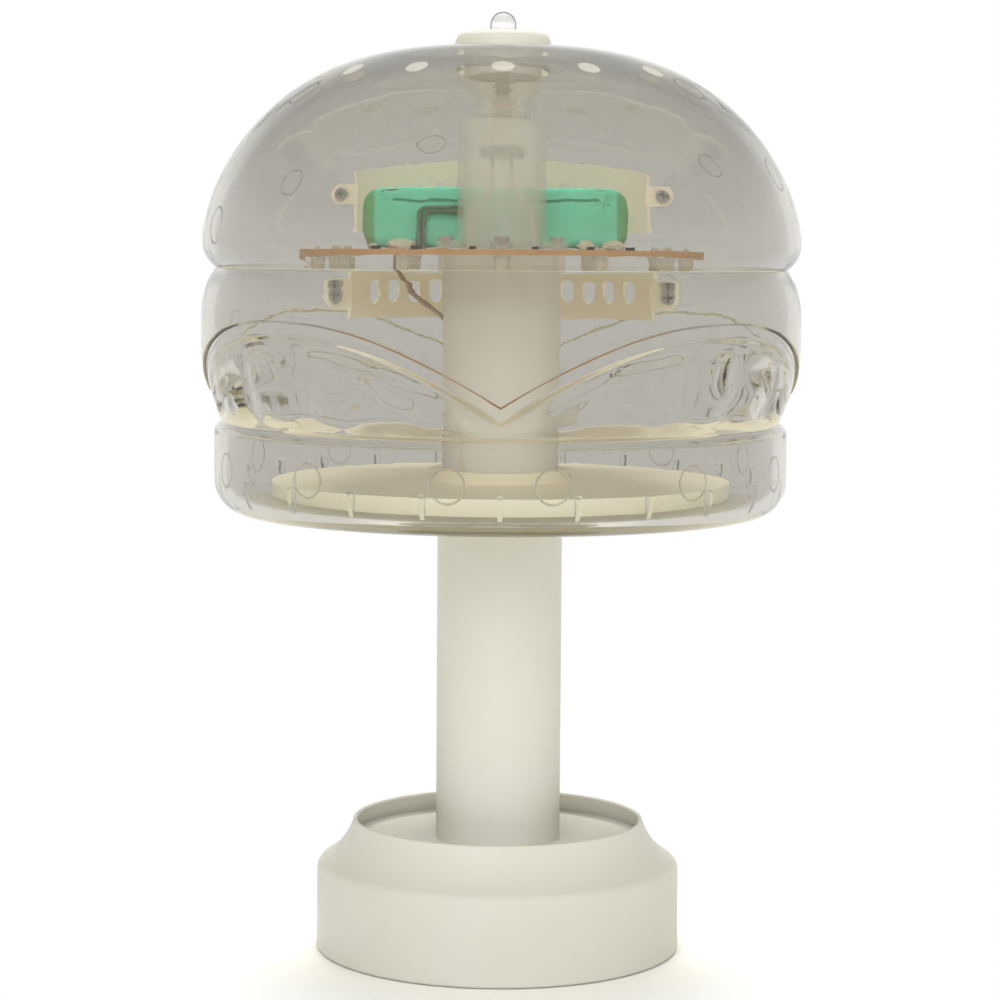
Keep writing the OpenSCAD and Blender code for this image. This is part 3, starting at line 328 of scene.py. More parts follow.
def clearMaterial(name, tint, roughness, rippleScale, rippleDepth, density, absorb):
    material = bpy.data.materials.new(name)
    material.use_nodes = True
    tree = material.node_tree
    shader = tree.nodes["Principled BSDF"]
    out = tree.nodes["Material Output"]
    setInputs(shader, Base_Color=(*tint, 1), Roughness=roughness, IOR=1.49, Transmission_Weight=1)
    place = addNode(tree, "ShaderNodeTexCoord")
    ripple = addNode(tree, "ShaderNodeTexNoise")
    setInputs(ripple, Scale=rippleScale, Detail=2, Roughness=0.5, Distortion=0.3)
    bump = addNode(tree, "ShaderNodeBump")
    setInputs(bump, Strength=1, Distance=rippleDepth)
    join(tree, place.outputs["Object"], ripple.inputs["Vector"])
    join(tree, ripple.outputs["Fac"], bump.inputs["Height"])
    join(tree, bump.outputs["Normal"], shader.inputs["Normal"])
    # the lamps and the room light what is inside, straight through the wall
    path = addNode(tree, "ShaderNodeLightPath")
    either = addNode(tree, "ShaderNodeMath", operation="MAXIMUM")
    through = addNode(tree, "ShaderNodeBsdfTransparent")
    setInputs(through, Color=(0.98, 0.98, 0.97, 1))
    mix = addNode(tree, "ShaderNodeMixShader")
    join(tree, path.outputs["Is Shadow Ray"], either.inputs[0])
    join(tree, path.outputs["Is Diffuse Ray"], either.inputs[1])
    join(tree, either.outputs[0], mix.inputs[0])
    join(tree, shader.outputs[0], mix.inputs[1])
    join(tree, through.outputs[0], mix.inputs[2])
    join(tree, mix.outputs[0], out.inputs["Surface"])
    if density:
        body = addNode(tree, "ShaderNodeVolumeAbsorption")
        setInputs(body, Color=(*absorb, 1), Density=density)
        join(tree, body.outputs[0], out.inputs["Volume"])
    return material


# aged ones: name, colour, aged colour, aged amount, patch scale, grain scale, grain depth, scratches, roughness
# clear ones: name, tint, roughness, ripple scale, ripple depth, density, colour of the absorption
materials = {
    "cream": agedMaterial(
        "creamPlastic", (0.645, 0.64, 0.60), (0.62, 0.595, 0.505), 0.45, 22, 1500, 0.00004, 0.5, 0.36,
        Specular_IOR_Level=0.18,
    ),
    # painted light: the same cream plastic as outside, painted brighter for the parts inside the clear shell
    "creamInsideLit": agedMaterial(
        "creamInsideLitPlastic", (0.98, 0.94, 0.81), (0.97, 0.91, 0.72), 0.5, 30, 1500, 0.00004, 0.3, 0.3,
    ),
    # painted light: the same cream again, painted brighter and pinker for the upper band
    "creamBandLit": agedMaterial(
        "creamBandLitPlastic", (0.99, 0.88, 0.84), (0.97, 0.86, 0.75), 0.5, 30, 1500, 0.00004, 0.3, 0.3,
    ),
    "clear": clearMaterial("clearPlastic", (0.68, 0.675, 0.66), 0.015, 70, 0.00006, 40, (0.80, 0.77, 0.60)),
    "clearWell": clearMaterial("clearWell", (0.97, 0.97, 0.95), 0.03, 120, 0.00003, 0, (1, 1, 1)),
    "frost": agedMaterial(
        "frostedPlastic", (0.94, 0.98, 0.97), (0.91, 0.94, 0.90), 0.5, 40, 700, 0.00002, 0.2, 0.45,
        Alpha=0.27,
    ),
    "milky": agedMaterial(
        "milkyPlastic", (0.97, 0.96, 0.95), (0.94, 0.92, 0.84), 0.5, 40, 700, 0.00003, 0.2, 0.4,
        Alpha=0.72,
    ),
    "barrel": agedMaterial(
        "barrelPlastic", (0.98, 0.96, 0.90), (0.96, 0.93, 0.82), 0.5, 60, 700, 0.00003, 0.2, 0.35,
        Alpha=0.2,
    ),
    # cemented joints, painted pale: the cement and a painted highlight along each crease
    "cementHighlight": agedMaterial(
        "cementedEdgeHighlight", (0.95, 0.93, 0.84), (0.92, 0.87, 0.68), 0.5, 90, 700, 0.0001, 0.2, 0.4, Alpha=0.65,
    ),
    "glue": agedMaterial(
        "hotGlue", (0.95, 0.92, 0.80), (0.90, 0.84, 0.62), 0.5, 260, 700, 0.0001, 0.1, 0.18,
        Transmission_Weight=0.3, IOR=1.48,
    ),
    "blackPlastic": agedMaterial(
        "blackPlastic", (0.02, 0.02, 0.022), (0.05, 0.05, 0.05), 0.4, 60, 1800, 0.00005, 0.6, 0.42,
    ),
    "brownNylon": agedMaterial(
        "brownNylon", (0.10, 0.05, 0.025), (0.16, 0.09, 0.05), 0.5, 200, 2500, 0.00004, 0.3, 0.45,
    ),
    "rubber": agedMaterial(
        "blackRubber", (0.03, 0.03, 0.03), (0.08, 0.078, 0.075), 0.5, 60, 1400, 0.0002, 0.2, 0.75,
    ),
    "steel": agedMaterial(
        "steelParts", (0.60, 0.60, 0.61), (0.42, 0.38, 0.33), 0.35, 150, 2400, 0.00003, 0.8, 0.32, Metallic=0.6,
    ),
    "chrome": agedMaterial(
        "chromePlate", (0.94, 0.94, 0.95), (0.86, 0.86, 0.88), 0.3, 120, 1600, 0.00001, 0.5, 0.08, Metallic=0.5,
    ),
    "copper": agedMaterial(
        "copperDisc", (0.78, 0.42, 0.30), (0.45, 0.22, 0.14), 0.5, 300, 2400, 0.00002, 0.5, 0.3, Metallic=1,
    ),
    "brass": agedMaterial(
        "brassParts", (0.78, 0.58, 0.27), (0.5, 0.34, 0.15), 0.5, 300, 2400, 0.00002, 0.5, 0.3, Metallic=1,
    ),
    "brownBoard": agedMaterial(
        "brownBoard", (0.53, 0.30, 0.12), (0.42, 0.22, 0.09), 0.6, 90, 900, 0.00008, 0.4, 0.5,
    ),
    "greenBoard": agedMaterial(
        "greenBoard", (0.02, 0.16, 0.06), (0.01, 0.09, 0.03), 0.5, 90, 900, 0.00006, 0.4, 0.4,
    ),
    "lampBody": agedMaterial(
        "lampBody", (0.90, 0.88, 0.80), (0.80, 0.76, 0.62), 0.5, 250, 900, 0.00003, 0.2, 0.12,
        Transmission_Weight=0.5, IOR=1.5,
    ),
    "chipBlack": agedMaterial(
        "chipBlack", (0.02, 0.02, 0.022), (0.06, 0.06, 0.06), 0.5, 200, 2400, 0.00005, 0.2, 0.4,
    ),
    "cellMetal": agedMaterial(
        "cellMetal", (0.55, 0.55, 0.57), (0.4, 0.38, 0.34), 0.4, 90, 1800, 0.00003, 0.8, 0.35, Metallic=1,
    ),
    "greenWrap": agedMaterial(
        "greenWrap", (0.24, 0.85, 0.63), (0.19, 0.675, 0.485), 0.6, 60, 500, 0.00015, 0.6, 0.3,
        Coat_Weight=0.3, Coat_Roughness=0.15,
    ),
    "wireBrown": agedMaterial(
        "wireBrown", (0.42, 0.31, 0.25), (0.34, 0.23, 0.17), 0.5, 200, 1600, 0.00004, 0.2, 0.45,
    ),
    "wireGrey": agedMaterial(
        "wireGrey", (0.20, 0.27, 0.20), (0.13, 0.19, 0.13), 0.5, 200, 1600, 0.00004, 0.2, 0.45,
    ),
    "wireWhite": agedMaterial(
        "wireWhite", (0.78, 0.76, 0.68), (0.65, 0.6, 0.45), 0.5, 200, 1600, 0.00004, 0.2, 0.4,
    ),
}

nodeFinish = {
    "base_shell": "cream", "base_cover": "cream", "column_tube": "cream", "top_cap": "cream",
    "bottom_tray": "creamInsideLit", "upper_band": "creamBandLit", "lower_band": "creamInsideLit",
    "base_weight": "steel", "foot_ring": "rubber", "charge_board": "greenBoard", "charge_socket": "blackPlastic",
    "lower_light_tube": "milky", "wire_tube": "milky", "upper_light_tube": "frost", "switch_housing": "barrel",
    "wire_tie": "brownNylon", "circuit_board": "brownBoard", "led_lamps": "lampBody", "board_parts": "chipBlack",
    "battery_cells": "cellMetal", "battery_wrap": "greenWrap", "battery_leads": "wireGrey",
    "charge_wires": "wireBrown", "switch_wires": "wireWhite", "switch_terminals": "brass", "contact_disc": "copper",
    "switch_button": "chrome",
}


def paintRimReflectionShade(material, start, end, share):
    # painted reflection: the colour is darkened where the surface turns away from view, standing in for the dark rim
    # seen in polished metal's reflections
    tree = material.node_tree
    shader = tree.nodes["Principled BSDF"]
    plain = shader.inputs["Base Color"].links[0].from_socket
    weight = addNode(tree, "ShaderNodeLayerWeight")
    fade = addNode(tree, "ShaderNodeMapRange", interpolation_type="SMOOTHSTEP")
    setInputs(fade, From_Min=start, From_Max=end, To_Min=1, To_Max=share)
    dark = addNode(tree, "ShaderNodeVectorMath", operation="SCALE")
    join(tree, weight.outputs["Facing"], fade.inputs["Value"])
    join(tree, plain, dark.inputs[0])
    join(tree, fade.outputs["Result"], dark.inputs["Scale"])
    join(tree, dark.outputs[0], shader.inputs["Base Color"])


# painted reflection: a dark rim on the chrome
paintRimReflectionShade(materials["chrome"], start=0.45, end=0.7, share=0.2)
for nodeName, cadObject in cadNodes.items():
    cadObject.data.materials.clear()
    cadObject.data.materials.append(materials[nodeFinish.get(nodeName, "steel")])
print("materials ready:", len(materials))

# the pack's film: painted shade, darker olive at its ends where the film turns round them, and a painted dark line of
# shade along the crease at the top of its front

filmShade = {
    "endX": 44.0,  # where the painted shade of the ends starts
    "endBlend": 1.5,
    "shift": 2.4,  # the pack sits this far to the left
    "endShadeColor": (0.185, 0.475, 0.232, 1),
    "creaseZ": 274.0,
    "creaseHalf": 0.35,
    "creaseEdge": 2.2,  # the crease has faded out at this many times its half width
    "creaseReach": 37.0,
    "creaseFade": 2.0,
    "creaseShadeShare": 0.85,
    "waverScale": 90,
    "waver": 2.0,
    "creaseShadeColor": (0.05, 0.24, 0.15, 1),
}


def paintFilmShade(material, setup):
    tree = material.node_tree
    shader = tree.nodes["Principled BSDF"]
    plain = shader.inputs["Base Color"].links[0].from_socket
    place = addNode(tree, "ShaderNodeTexCoord")
    parts = addNode(tree, "ShaderNodeSeparateXYZ")
    center = addNode(tree, "ShaderNodeMath", operation="ADD")
    center.inputs[1].default_value = setup["shift"] * mm
    side = addNode(tree, "ShaderNodeMath", operation="ABSOLUTE")
    ends = addNode(tree, "ShaderNodeMapRange", interpolation_type="SMOOTHSTEP")
    setInputs(ends, From_Min=setup["endX"] * mm, From_Max=(setup["endX"] + setup["endBlend"]) * mm)
    waver = addNode(tree, "ShaderNodeTexNoise")
    setInputs(waver, Scale=setup["waverScale"], Detail=1)
    lift = addNode(tree, "ShaderNodeMath", operation="MULTIPLY_ADD")
    lift.inputs[1].default_value = setup["waver"] * mm
    away = addNode(tree, "ShaderNodeMath", operation="SUBTRACT")
    away.inputs[1].default_value = (setup["creaseZ"] + setup["waver"] / 2) * mm
    distance = addNode(tree, "ShaderNodeMath", operation="ABSOLUTE")
    line = addNode(tree, "ShaderNodeMapRange", interpolation_type="SMOOTHSTEP")
    setInputs(
        line, From_Min=setup["creaseHalf"] * mm, From_Max=setup["creaseEdge"] * setup["creaseHalf"] * mm, To_Min=1,
        To_Max=0,
    )
    reach = addNode(tree, "ShaderNodeMapRange", interpolation_type="SMOOTHSTEP")
    setInputs(
        reach, From_Min=setup["creaseReach"] * mm, From_Max=(setup["creaseReach"] + setup["creaseFade"]) * mm,
        To_Min=setup["creaseShadeShare"], To_Max=0,
    )
    crease = addNode(tree, "ShaderNodeMath", operation="MULTIPLY")
    # painted shade: olive ends and a dark line along the crease
    endShadeMix = addNode(tree, "ShaderNodeMix", data_type="RGBA")
    endShadeMix.inputs[7].default_value = setup["endShadeColor"]
    creaseShadeMix = addNode(tree, "ShaderNodeMix", data_type="RGBA")
    creaseShadeMix.inputs[7].default_value = setup["creaseShadeColor"]
    join(tree, place.outputs["Object"], parts.inputs[0])
    join(tree, parts.outputs["X"], center.inputs[0])
    join(tree, center.outputs[0], side.inputs[0])
    join(tree, side.outputs[0], ends.inputs["Value"])
    join(tree, place.outputs["Object"], waver.inputs["Vector"])
    join(tree, waver.outputs["Fac"], lift.inputs[0])
    join(tree, parts.outputs["Z"], lift.inputs[2])
    join(tree, lift.outputs[0], away.inputs[0])
    join(tree, away.outputs[0], distance.inputs[0])
    join(tree, distance.outputs[0], line.inputs["Value"])
    join(tree, side.outputs[0], reach.inputs["Value"])
    join(tree, line.outputs["Result"], crease.inputs[0])
    join(tree, reach.outputs["Result"], crease.inputs[1])
    join(tree, ends.outputs["Result"], endShadeMix.inputs["Factor"])
    join(tree, plain, endShadeMix.inputs[6])
    join(tree, crease.outputs[0], creaseShadeMix.inputs["Factor"])
    join(tree, endShadeMix.outputs[2], creaseShadeMix.inputs[6])
    join(tree, creaseShadeMix.outputs[2], shader.inputs["Base Color"])


paintFilmShade(materials["greenWrap"], filmShade)

# shared shape helpers

spinSteps = 256
cementReach = 0.05


def arcPoints(centerR, centerZ, radius, start, end, count):
    points = []
    for i in range(count + 1):
        angle = math.radians(start + (end - start) * i / count)
        points.append((centerR + radius * math.cos(angle), centerZ + radius * math.sin(angle)))
    return points


def spinLoop(loop):
    bm = bmesh.new()
    ring = [bm.verts.new((r * mm, 0, z * mm)) for r, z in loop]
    edges = [bm.edges.new((ring[i - 1], ring[i])) for i in range(len(ring))]
    bmesh.ops.spin(
        bm, geom=ring + edges, cent=(0, 0, 0), axis=(0, 0, 1), angle=math.tau, steps=spinSteps, use_merge=True
    )
    bmesh.ops.remove_doubles(bm, verts=bm.verts, dist=1e-7)
    bmesh.ops.recalc_face_normals(bm, faces=bm.faces)
    return bm


def addPiece(name, bm, finishes, sharp=32, replaced=()):
    mesh = bpy.data.meshes.new(name)
    bm.to_mesh(mesh)
    bm.free()
    mesh.shade_smooth()
    mesh.set_sharp_from_angle(angle=math.radians(sharp))
    for finish in finishes:
        mesh.materials.append(materials[finish])
    piece = bpy.data.objects.new(name, mesh)
    scene.collection.objects.link(piece)
    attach(piece, "lamp")
    if replaced:
        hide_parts(*replaced)
    return piece


def markCementHighlight(bm, index, *heights):
    # the flat faces at these heights are cemented, and painted pale: a painted highlight along each joint
    for face in bm.faces:
        if any(abs(face.calc_center_median().z - height * mm) < cementReach * mm for height in heights):
            face.material_index = index
    return bm


def copies(shape, places):
    # one mesh from copies of a small shape, one at each place
    pattern = bpy.data.meshes.new("pattern")
    shape.to_mesh(pattern)
    shape.free()
    bm = bmesh.new()
    for place in places:
        start = len(bm.verts)
        bm.from_mesh(pattern)
        bm.verts.ensure_lookup_table()
        bmesh.ops.transform(bm, matrix=place, verts=bm.verts[start:])
    bpy.data.meshes.remove(pattern)
    return bm


def alongCurve(curve, axis, value):
    # where a profile's radius (axis 0) or height (axis 1) has this value, and the direction out of the wall
    for low, high in zip(curve, curve[1:]):
        if min(low[axis], high[axis]) <= value <= max(low[axis], high[axis]) and low[axis] != high[axis]:
            share = (value - low[axis]) / (high[axis] - low[axis])
            r, z = low[0] + (high[0] - low[0]) * share, low[1] + (high[1] - low[1]) * share
            return r, z, math.atan2(high[1] - low[1], high[0] - low[0]) - math.pi / 2
    return curve[-1][0], curve[-1][1], math.pi / 2


def onWall(curve, axis, value, side):
    # a place on the wall, side degrees to the right of the front, with Z pointing out of it
    r, z, out = alongCurve(curve, axis, value)
    turn = Matrix.Rotation(math.radians(side - 90), 4, "Z")
    return turn @ Matrix.Translation((r * mm, 0, z * mm)) @ Matrix.Rotation(math.pi / 2 - out, 4, "Y")


# clear mouldings

shellWall = 4.5

bottomBun = {
    "outerR": 103.6,
    "floorZ": 160.0,
    "creaseZ": 193.35,
    "creaseR": 101.0,
    "turnR": 12.5,
    "lipR": 5.2,
    "lipDrop": 0.86,  # how far under the crease the lip's centre is, in lip radii
    "holeR": 19.0,
    "ribCount": 24,
    "ribTop": 14.5,  # height above the floor
    "ribWidth": 1.6,
    "ribDepth": 2.4,
    "ribBite": 0.15,  # how far a rib reaches into the wall
    "ribRows": 8,
}


def bottomBunCurve(setup, inset):
    lipCenterZ = setup["creaseZ"] - setup["lipR"] * setup["lipDrop"]
    corner = arcPoints(
        setup["outerR"] - setup["turnR"], setup["floorZ"] + setup["turnR"], setup["turnR"] - inset, -90, 0, 14
    )
    lip = arcPoints(setup["outerR"] - setup["lipR"], lipCenterZ, setup["lipR"] - inset, 0, 50, 8)
    return corner + lip


def makeBottomBun(setup):
    inner = bottomBunCurve(setup, shellWall)
    loop = [(setup["holeR"], setup["floorZ"])] + bottomBunCurve(setup, 0)
    loop += [(setup["creaseR"], setup["creaseZ"]), (setup["creaseR"] - shellWall, setup["creaseZ"])]
    loop += inner[::-1] + [(setup["holeR"], setup["floorZ"] + shellWall)]
    return spinLoop(loop)


def makeRibs(setup):
    wall = bottomBunCurve(setup, shellWall)
    top = setup["floorZ"] + setup["ribTop"]
    innerR = setup["outerR"] - shellWall - setup["ribDepth"]
    lowZ = alongCurve(wall, 0, innerR)[1]
    rows = setup["ribRows"]
    heights = [lowZ + (top - lowZ) * i / rows for i in range(rows + 1)]
    outside = [(alongCurve(wall, 1, z)[0] + setup["ribBite"], z) for z in heights]
    bm = bmesh.new()
    corners = [bm.verts.new((r * mm, -setup["ribWidth"] / 2 * mm, z * mm)) for r, z in outside]
    corners.append(bm.verts.new(((innerR + 0.5) * mm, -setup["ribWidth"] / 2 * mm, top * mm)))
    corners.append(bm.verts.new((innerR * mm, -setup["ribWidth"] / 2 * mm, (top - 0.8) * mm)))
    face = bm.faces.new(corners)
    grown = bmesh.ops.extrude_face_region(bm, geom=[face])["geom"]
    moved = [item for item in grown if isinstance(item, bmesh.types.BMVert)]
    bmesh.ops.translate(bm, vec=(0, setup["ribWidth"] * mm, 0), verts=moved)
    bmesh.ops.recalc_face_normals(bm, faces=bm.faces)
    count = setup["ribCount"]
    return copies(bm, [Matrix.Rotation(math.tau * i / count - math.pi / 2, 4, "Z") for i in range(count)])


addPiece(
    "bottomBun", markCementHighlight(makeBottomBun(bottomBun), 1, bottomBun["floorZ"], bottomBun["creaseZ"]),
    ["clear", "cementHighlight"], replaced=("bottom_bun_shell",),
)
addPiece("bottomBunRibs", makeRibs(bottomBun), ["clearWell"])

middleLayer = {
    "outerR": 107.5,
    "bottomZ": 193.45,
    "topZ": 248.25,
    "bottomR": 101.0,
    "topR": 103.0,
    "flatHeight": 8.0,
    "taperHeight": 28.6,
    "cheeseProud": 0.7,
    "fillingRecess": 0.4,
    "edgeHeight": 4.4,  # from the outer step of the cheese to the inner one
    "stepHeight": 0.8,
    "innerStepHeight": 3.0,
    "archZ": 231.0,
    "cheeseDrop": 27.0,
    "cheesePower": 2.4,
    "rowsBelow": 26,
    "rowsEdge": 18,
    "rowsAbove": 20,
    "rowsOverlap": 0.4,  # the rows of the edge reach this far above the outer step
    "proudFade": 5.0,
    "lumpFadeLow": 6.0,
    "lumpFadeHigh": 7.0,
    "valleyDepth": 2.1,
    "valleyWidth": 3.4,  # degrees
    "valleyInside": 0.7,  # the grooves on the inside are shallower
    "lumpDepth": 1.3,
    "lumpScale": 0.085,
    "fillingTilt": 4.2,  # how much thicker the filling's wall is at its top than at its foot
    # degrees to the right of the front where two lumps of the filling meet
    "valleys": (
        -171, -156, -140, -125, -110, -94, -76, -57, -40, -24, -9, 7, 21, 36, 50, 66, 82, 98, 113, 128, 144, 159, 174,
    ),
}


def flareRadius(dr, dz):
    return (dr * dr + dz * dz) / (2 * dr)


def easeStep(value):
    value = min(1, max(0, value))
    return value * value * (3 - 2 * value)


def middleRadius(setup, z):
    # outer radius of the smooth wall at this height
    taperTop = setup["bottomZ"] + setup["taperHeight"]
    turnBottom = taperTop + setup["flatHeight"]
    if z < taperTop:
        bend = flareRadius(setup["outerR"] - setup["bottomR"], setup["taperHeight"])
        return setup["outerR"] - bend + math.sqrt(max(bend * bend - (taperTop - z) ** 2, 0))
    if z > turnBottom:
        bend = flareRadius(setup["outerR"] - setup["topR"], setup["topZ"] - turnBottom)
        return setup["outerR"] - bend + math.sqrt(max(bend * bend - (z - turnBottom) ** 2, 0))
    return setup["outerR"]


def cheeseHeight(setup, angle):
    # the slice has a corner at the front, the back and each side
    turn = abs(math.sin((angle % (math.pi / 2)) - math.pi / 4)) / math.sin(math.pi / 4)
    return setup["archZ"] - setup["cheeseDrop"] * turn ** setup["cheesePower"]


def valleyAt(setup, angle):
    # 1 in the groove between two lumps, 0 on a lump
    side = math.degrees(angle) + 90
    nearest = min(abs((side - valley + 180) % 360 - 180) for valley in setup["valleys"])
    return math.exp(-((nearest / setup["valleyWidth"]) ** 2))


def makeMiddle(setup):
    below, edge, above = setup["rowsBelow"], setup["rowsEdge"], setup["rowsAbove"]
    count = below + edge + above
    # a plain tube first, with the row numbers for heights
    bm = spinLoop([(200, i) for i in range(count + 1)] + [(100, count - i) for i in range(count + 1)])
    for vert in bm.verts:
        angle = math.atan2(vert.co.y, vert.co.x)
        outside = vert.co.xy.length > 150 * mm
        row = vert.co.z / mm
        edgeZ = cheeseHeight(setup, angle)
        edgeLow = edgeZ - setup["edgeHeight"] - setup["innerStepHeight"]
        if row < below:
            z = setup["bottomZ"] + (edgeLow - setup["bottomZ"]) * row / below
        elif row < below + edge:
            z = edgeLow + (edgeZ + setup["rowsOverlap"] - edgeLow) * (row - below) / edge
        else:
            start = edgeZ + setup["rowsOverlap"]
            z = start + (setup["topZ"] - start) * (row - below - edge) / above
        stepZ, stepHeight = edgeZ, setup["stepHeight"]
        if not outside:
            stepZ, stepHeight = edgeZ - setup["edgeHeight"], setup["innerStepHeight"]
        share = easeStep((z - stepZ + stepHeight) / stepHeight)
        toEnd = setup["topZ"] - z if share > 0.5 else z - setup["bottomZ"]
        proud = (setup["cheeseProud"] + setup["fillingRecess"]) * share - setup["fillingRecess"]
        radius = middleRadius(setup, z) + proud * max(0, min(1, toEnd / setup["proudFade"]))
        low = easeStep((z - setup["bottomZ"]) / setup["lumpFadeLow"])
        high = easeStep((edgeLow - z) / setup["lumpFadeHigh"])
        groove = setup["valleyDepth"] * valleyAt(setup, angle) * low * high
        radius -= groove if outside else groove * setup["valleyInside"]
        if not outside:
            uneven = noise.noise(Vector((radius * math.cos(angle), radius * math.sin(angle), z)) * setup["lumpScale"])
            tilt = max(0, min(1, (z - setup["bottomZ"]) / (edgeLow - setup["bottomZ"]))) - 0.5
            radius -= shellWall + (setup["lumpDepth"] * uneven + setup["fillingTilt"] * tilt) * low * high
        vert.co = (radius * mm * math.cos(angle), radius * mm * math.sin(angle), z * mm)
    return bm


addPiece(
    "middleLayer", markCementHighlight(makeMiddle(middleLayer), 1, middleLayer["bottomZ"], middleLayer["topZ"]),
    ["clear", "cementHighlight"], replaced=("middle_shell",),
)

topBun = {
    "outerR": 107.8,
    "creaseZ": 248.35,
    "creaseR": 103.0,
    "swellHeight": 9.7,
    "swellSteps": 12,
    "swellThinning": 1.5,  # the inside of the swell has a smaller radius by this much
    "domeHeight": 70.0,
    "rise": 1.6,
    "round": 2.9,
    "wellR": 14.2,
    "wellWall": 2.5,
    "coneTopZ": 318.5,
    "neckTopZ": 311.0,
    "neckR": 10.0,
    "neckLength": 17.5,
    "seatR": 9.0,  # bored out down to here, where the flange of the switch rests
    "seatZ": 303.5,
    "crownDrop": 0.4,  # the well starts this far under the crown
    "thickening": 40.0,  # the wall has its full thickness this far out from the well
    "thinPower": 1.2,
    "paleWellMargin": 0.3,
    "rows": 44,
}


def topBunCurve(setup, edgeR):
    swellZ = setup["creaseZ"] + setup["swellHeight"]
    bend = flareRadius(setup["outerR"] - setup["creaseR"], setup["swellHeight"])
    start = -math.degrees(math.asin(setup["swellHeight"] / bend))
    points = arcPoints(setup["outerR"] - bend, swellZ, bend, start, 0, setup["swellSteps"])
    end = (1 - (edgeR / setup["outerR"]) ** setup["round"]) ** (1 / setup["rise"])
    for i in range(1, setup["rows"] + 1):
        h = setup["domeHeight"] * end * math.sin(math.pi / 2 * i / setup["rows"])
        r = setup["outerR"] * (1 - (h / setup["domeHeight"]) ** setup["rise"]) ** (1 / setup["round"])
        points.append((r, swellZ + h))
    return points


def topBunInside(setup, outer):
    edgeR = setup["wellR"] + setup["wellWall"]
    swellZ = setup["creaseZ"] + setup["swellHeight"]
    bend = flareRadius(setup["outerR"] - setup["creaseR"], setup["swellHeight"]) - setup["swellThinning"]
    start = -math.degrees(math.asin(setup["swellHeight"] / bend))
    inner = arcPoints(setup["outerR"] - shellWall - bend, swellZ, bend, start, 0, setup["swellSteps"])
    for r, z in outer[setup["swellSteps"] + 1:]:
        side = shellWall * min(1, max(0, (r - edgeR) / setup["thickening"]))
        drop = shellWall * (max(0, z - swellZ) / setup["domeHeight"]) ** setup["thinPower"]
        inner.append((r - side, z - drop))
    return inner


def makeTopBun(setup):
    edgeR = setup["wellR"] + setup["wellWall"]
    crownZ = setup["creaseZ"] + setup["swellHeight"] + setup["domeHeight"]
    outer = topBunCurve(setup, edgeR)
    neckInR = setup["neckR"] - setup["wellWall"]
    neckEndZ = setup["neckTopZ"] - setup["neckLength"]
    loop = outer + [
        (setup["wellR"], crownZ - setup["crownDrop"]), (setup["wellR"], setup["coneTopZ"]),
        (setup["seatR"], setup["neckTopZ"]), (setup["seatR"], setup["seatZ"]), (neckInR, setup["seatZ"]),
        (neckInR, neckEndZ), (setup["neckR"], neckEndZ), (setup["neckR"], setup["neckTopZ"]),
        (edgeR, setup["coneTopZ"]),
    ] + topBunInside(setup, outer)[::-1]
    bm = spinLoop(loop)
    for face in bm.faces:
        # the well, the cone and the neck are thin and slightly milky, and painted pale: painted light over the unlit
        # underside of the cap seen through them
        middle = face.calc_center_median()
        face.material_index = 1 if middle.xy.length < (edgeR + setup["paleWellMargin"]) * mm else 0
    return bm


addPiece(
    "topBun", markCementHighlight(makeTopBun(topBun), 2, topBun["creaseZ"]), ["clear", "barrel", "cementHighlight"],
    replaced=("top_bun_shell",),
)
print("clear mouldings made")

# pin marks on the inside of the mouldings, and dimples on the outside of the crown

wallMarks = {
    "ringR": 5.8,
    "lineR": 0.32,
    "bunSides": (-10, 10, -40, 40, -70, 70, -110, 110, -140, 140, -170, 170),
    "bunZ": 177.4,
    "middlePlaces": ((76, 237), (71, 202), (-73, 215.6), (-104, 226), (108, 212), (140, 237), (-145, 204)),
    "topPlaces": ((73, 280.5), (-70, 262.8), (62, 308), (-65, 306), (118, 290), (-122, 282), (-160, 300)),
    "smallPlaces": ((61, 189.5), (-61, 189.5), (150, 189.5)),
    "smallShare": 0.45,
    "dimpleSides": (-51, -26, 0, 26, 51, 129, 154, 180, -154, -129),
    "dimpleRingR": 66.5,
    "dimpleR": 3.9,
    "dimpleHeight": 0.2,
}


def ringShape(setup):
    bm = bmesh.new()
    bmesh.ops.create_circle(bm, segments=8, radius=setup["lineR"] * mm)
    bmesh.ops.rotate(bm, cent=(0, 0, 0), matrix=Matrix.Rotation(math.pi / 2, 3, "X"), verts=bm.verts)
    bmesh.ops.translate(bm, vec=(setup["ringR"] * mm, 0, 0), verts=bm.verts)
    section = bm.verts[:] + bm.edges[:]
    bmesh.ops.spin(bm, geom=section, cent=(0, 0, 0), axis=(0, 0, 1), angle=math.tau, steps=48, use_merge=True)
    bmesh.ops.recalc_face_normals(bm, faces=bm.faces)
    return bm


def makeRings(setup):
    bunWall = bottomBunCurve(bottomBun, shellWall)
    middleHeights = range(int(middleLayer["bottomZ"]) + 1, int(middleLayer["topZ"]), 2)
    middleWall = [(middleRadius(middleLayer, z) - shellWall, z) for z in middleHeights]
    topWall = topBunInside(topBun, topBunCurve(topBun, topBun["wellR"] + topBun["wellWall"]))
    places = [onWall(bunWall, 1, setup["bunZ"], side) for side in setup["bunSides"]]
    places += [onWall(middleWall, 1, z, side) for side, z in setup["middlePlaces"]]
    places += [onWall(topWall, 1, z, side) for side, z in setup["topPlaces"]]
    small = Matrix.Scale(setup["smallShare"], 4)
    places += [onWall(bunWall, 1, z, side) @ small for side, z in setup["smallPlaces"]]
    return copies(ringShape(setup), places)


def makeDimples(setup):
    bm = bmesh.new()
    flat = Matrix.Diagonal((setup["dimpleR"] * mm, setup["dimpleR"] * mm, setup["dimpleHeight"] * mm, 1))
    bmesh.ops.create_uvsphere(bm, u_segments=32, v_segments=16, radius=1, matrix=flat)
    topWall = topBunCurve(topBun, topBun["wellR"] + topBun["wellWall"])
    return copies(bm, [onWall(topWall, 0, setup["dimpleRingR"], side) for side in setup["dimpleSides"]])


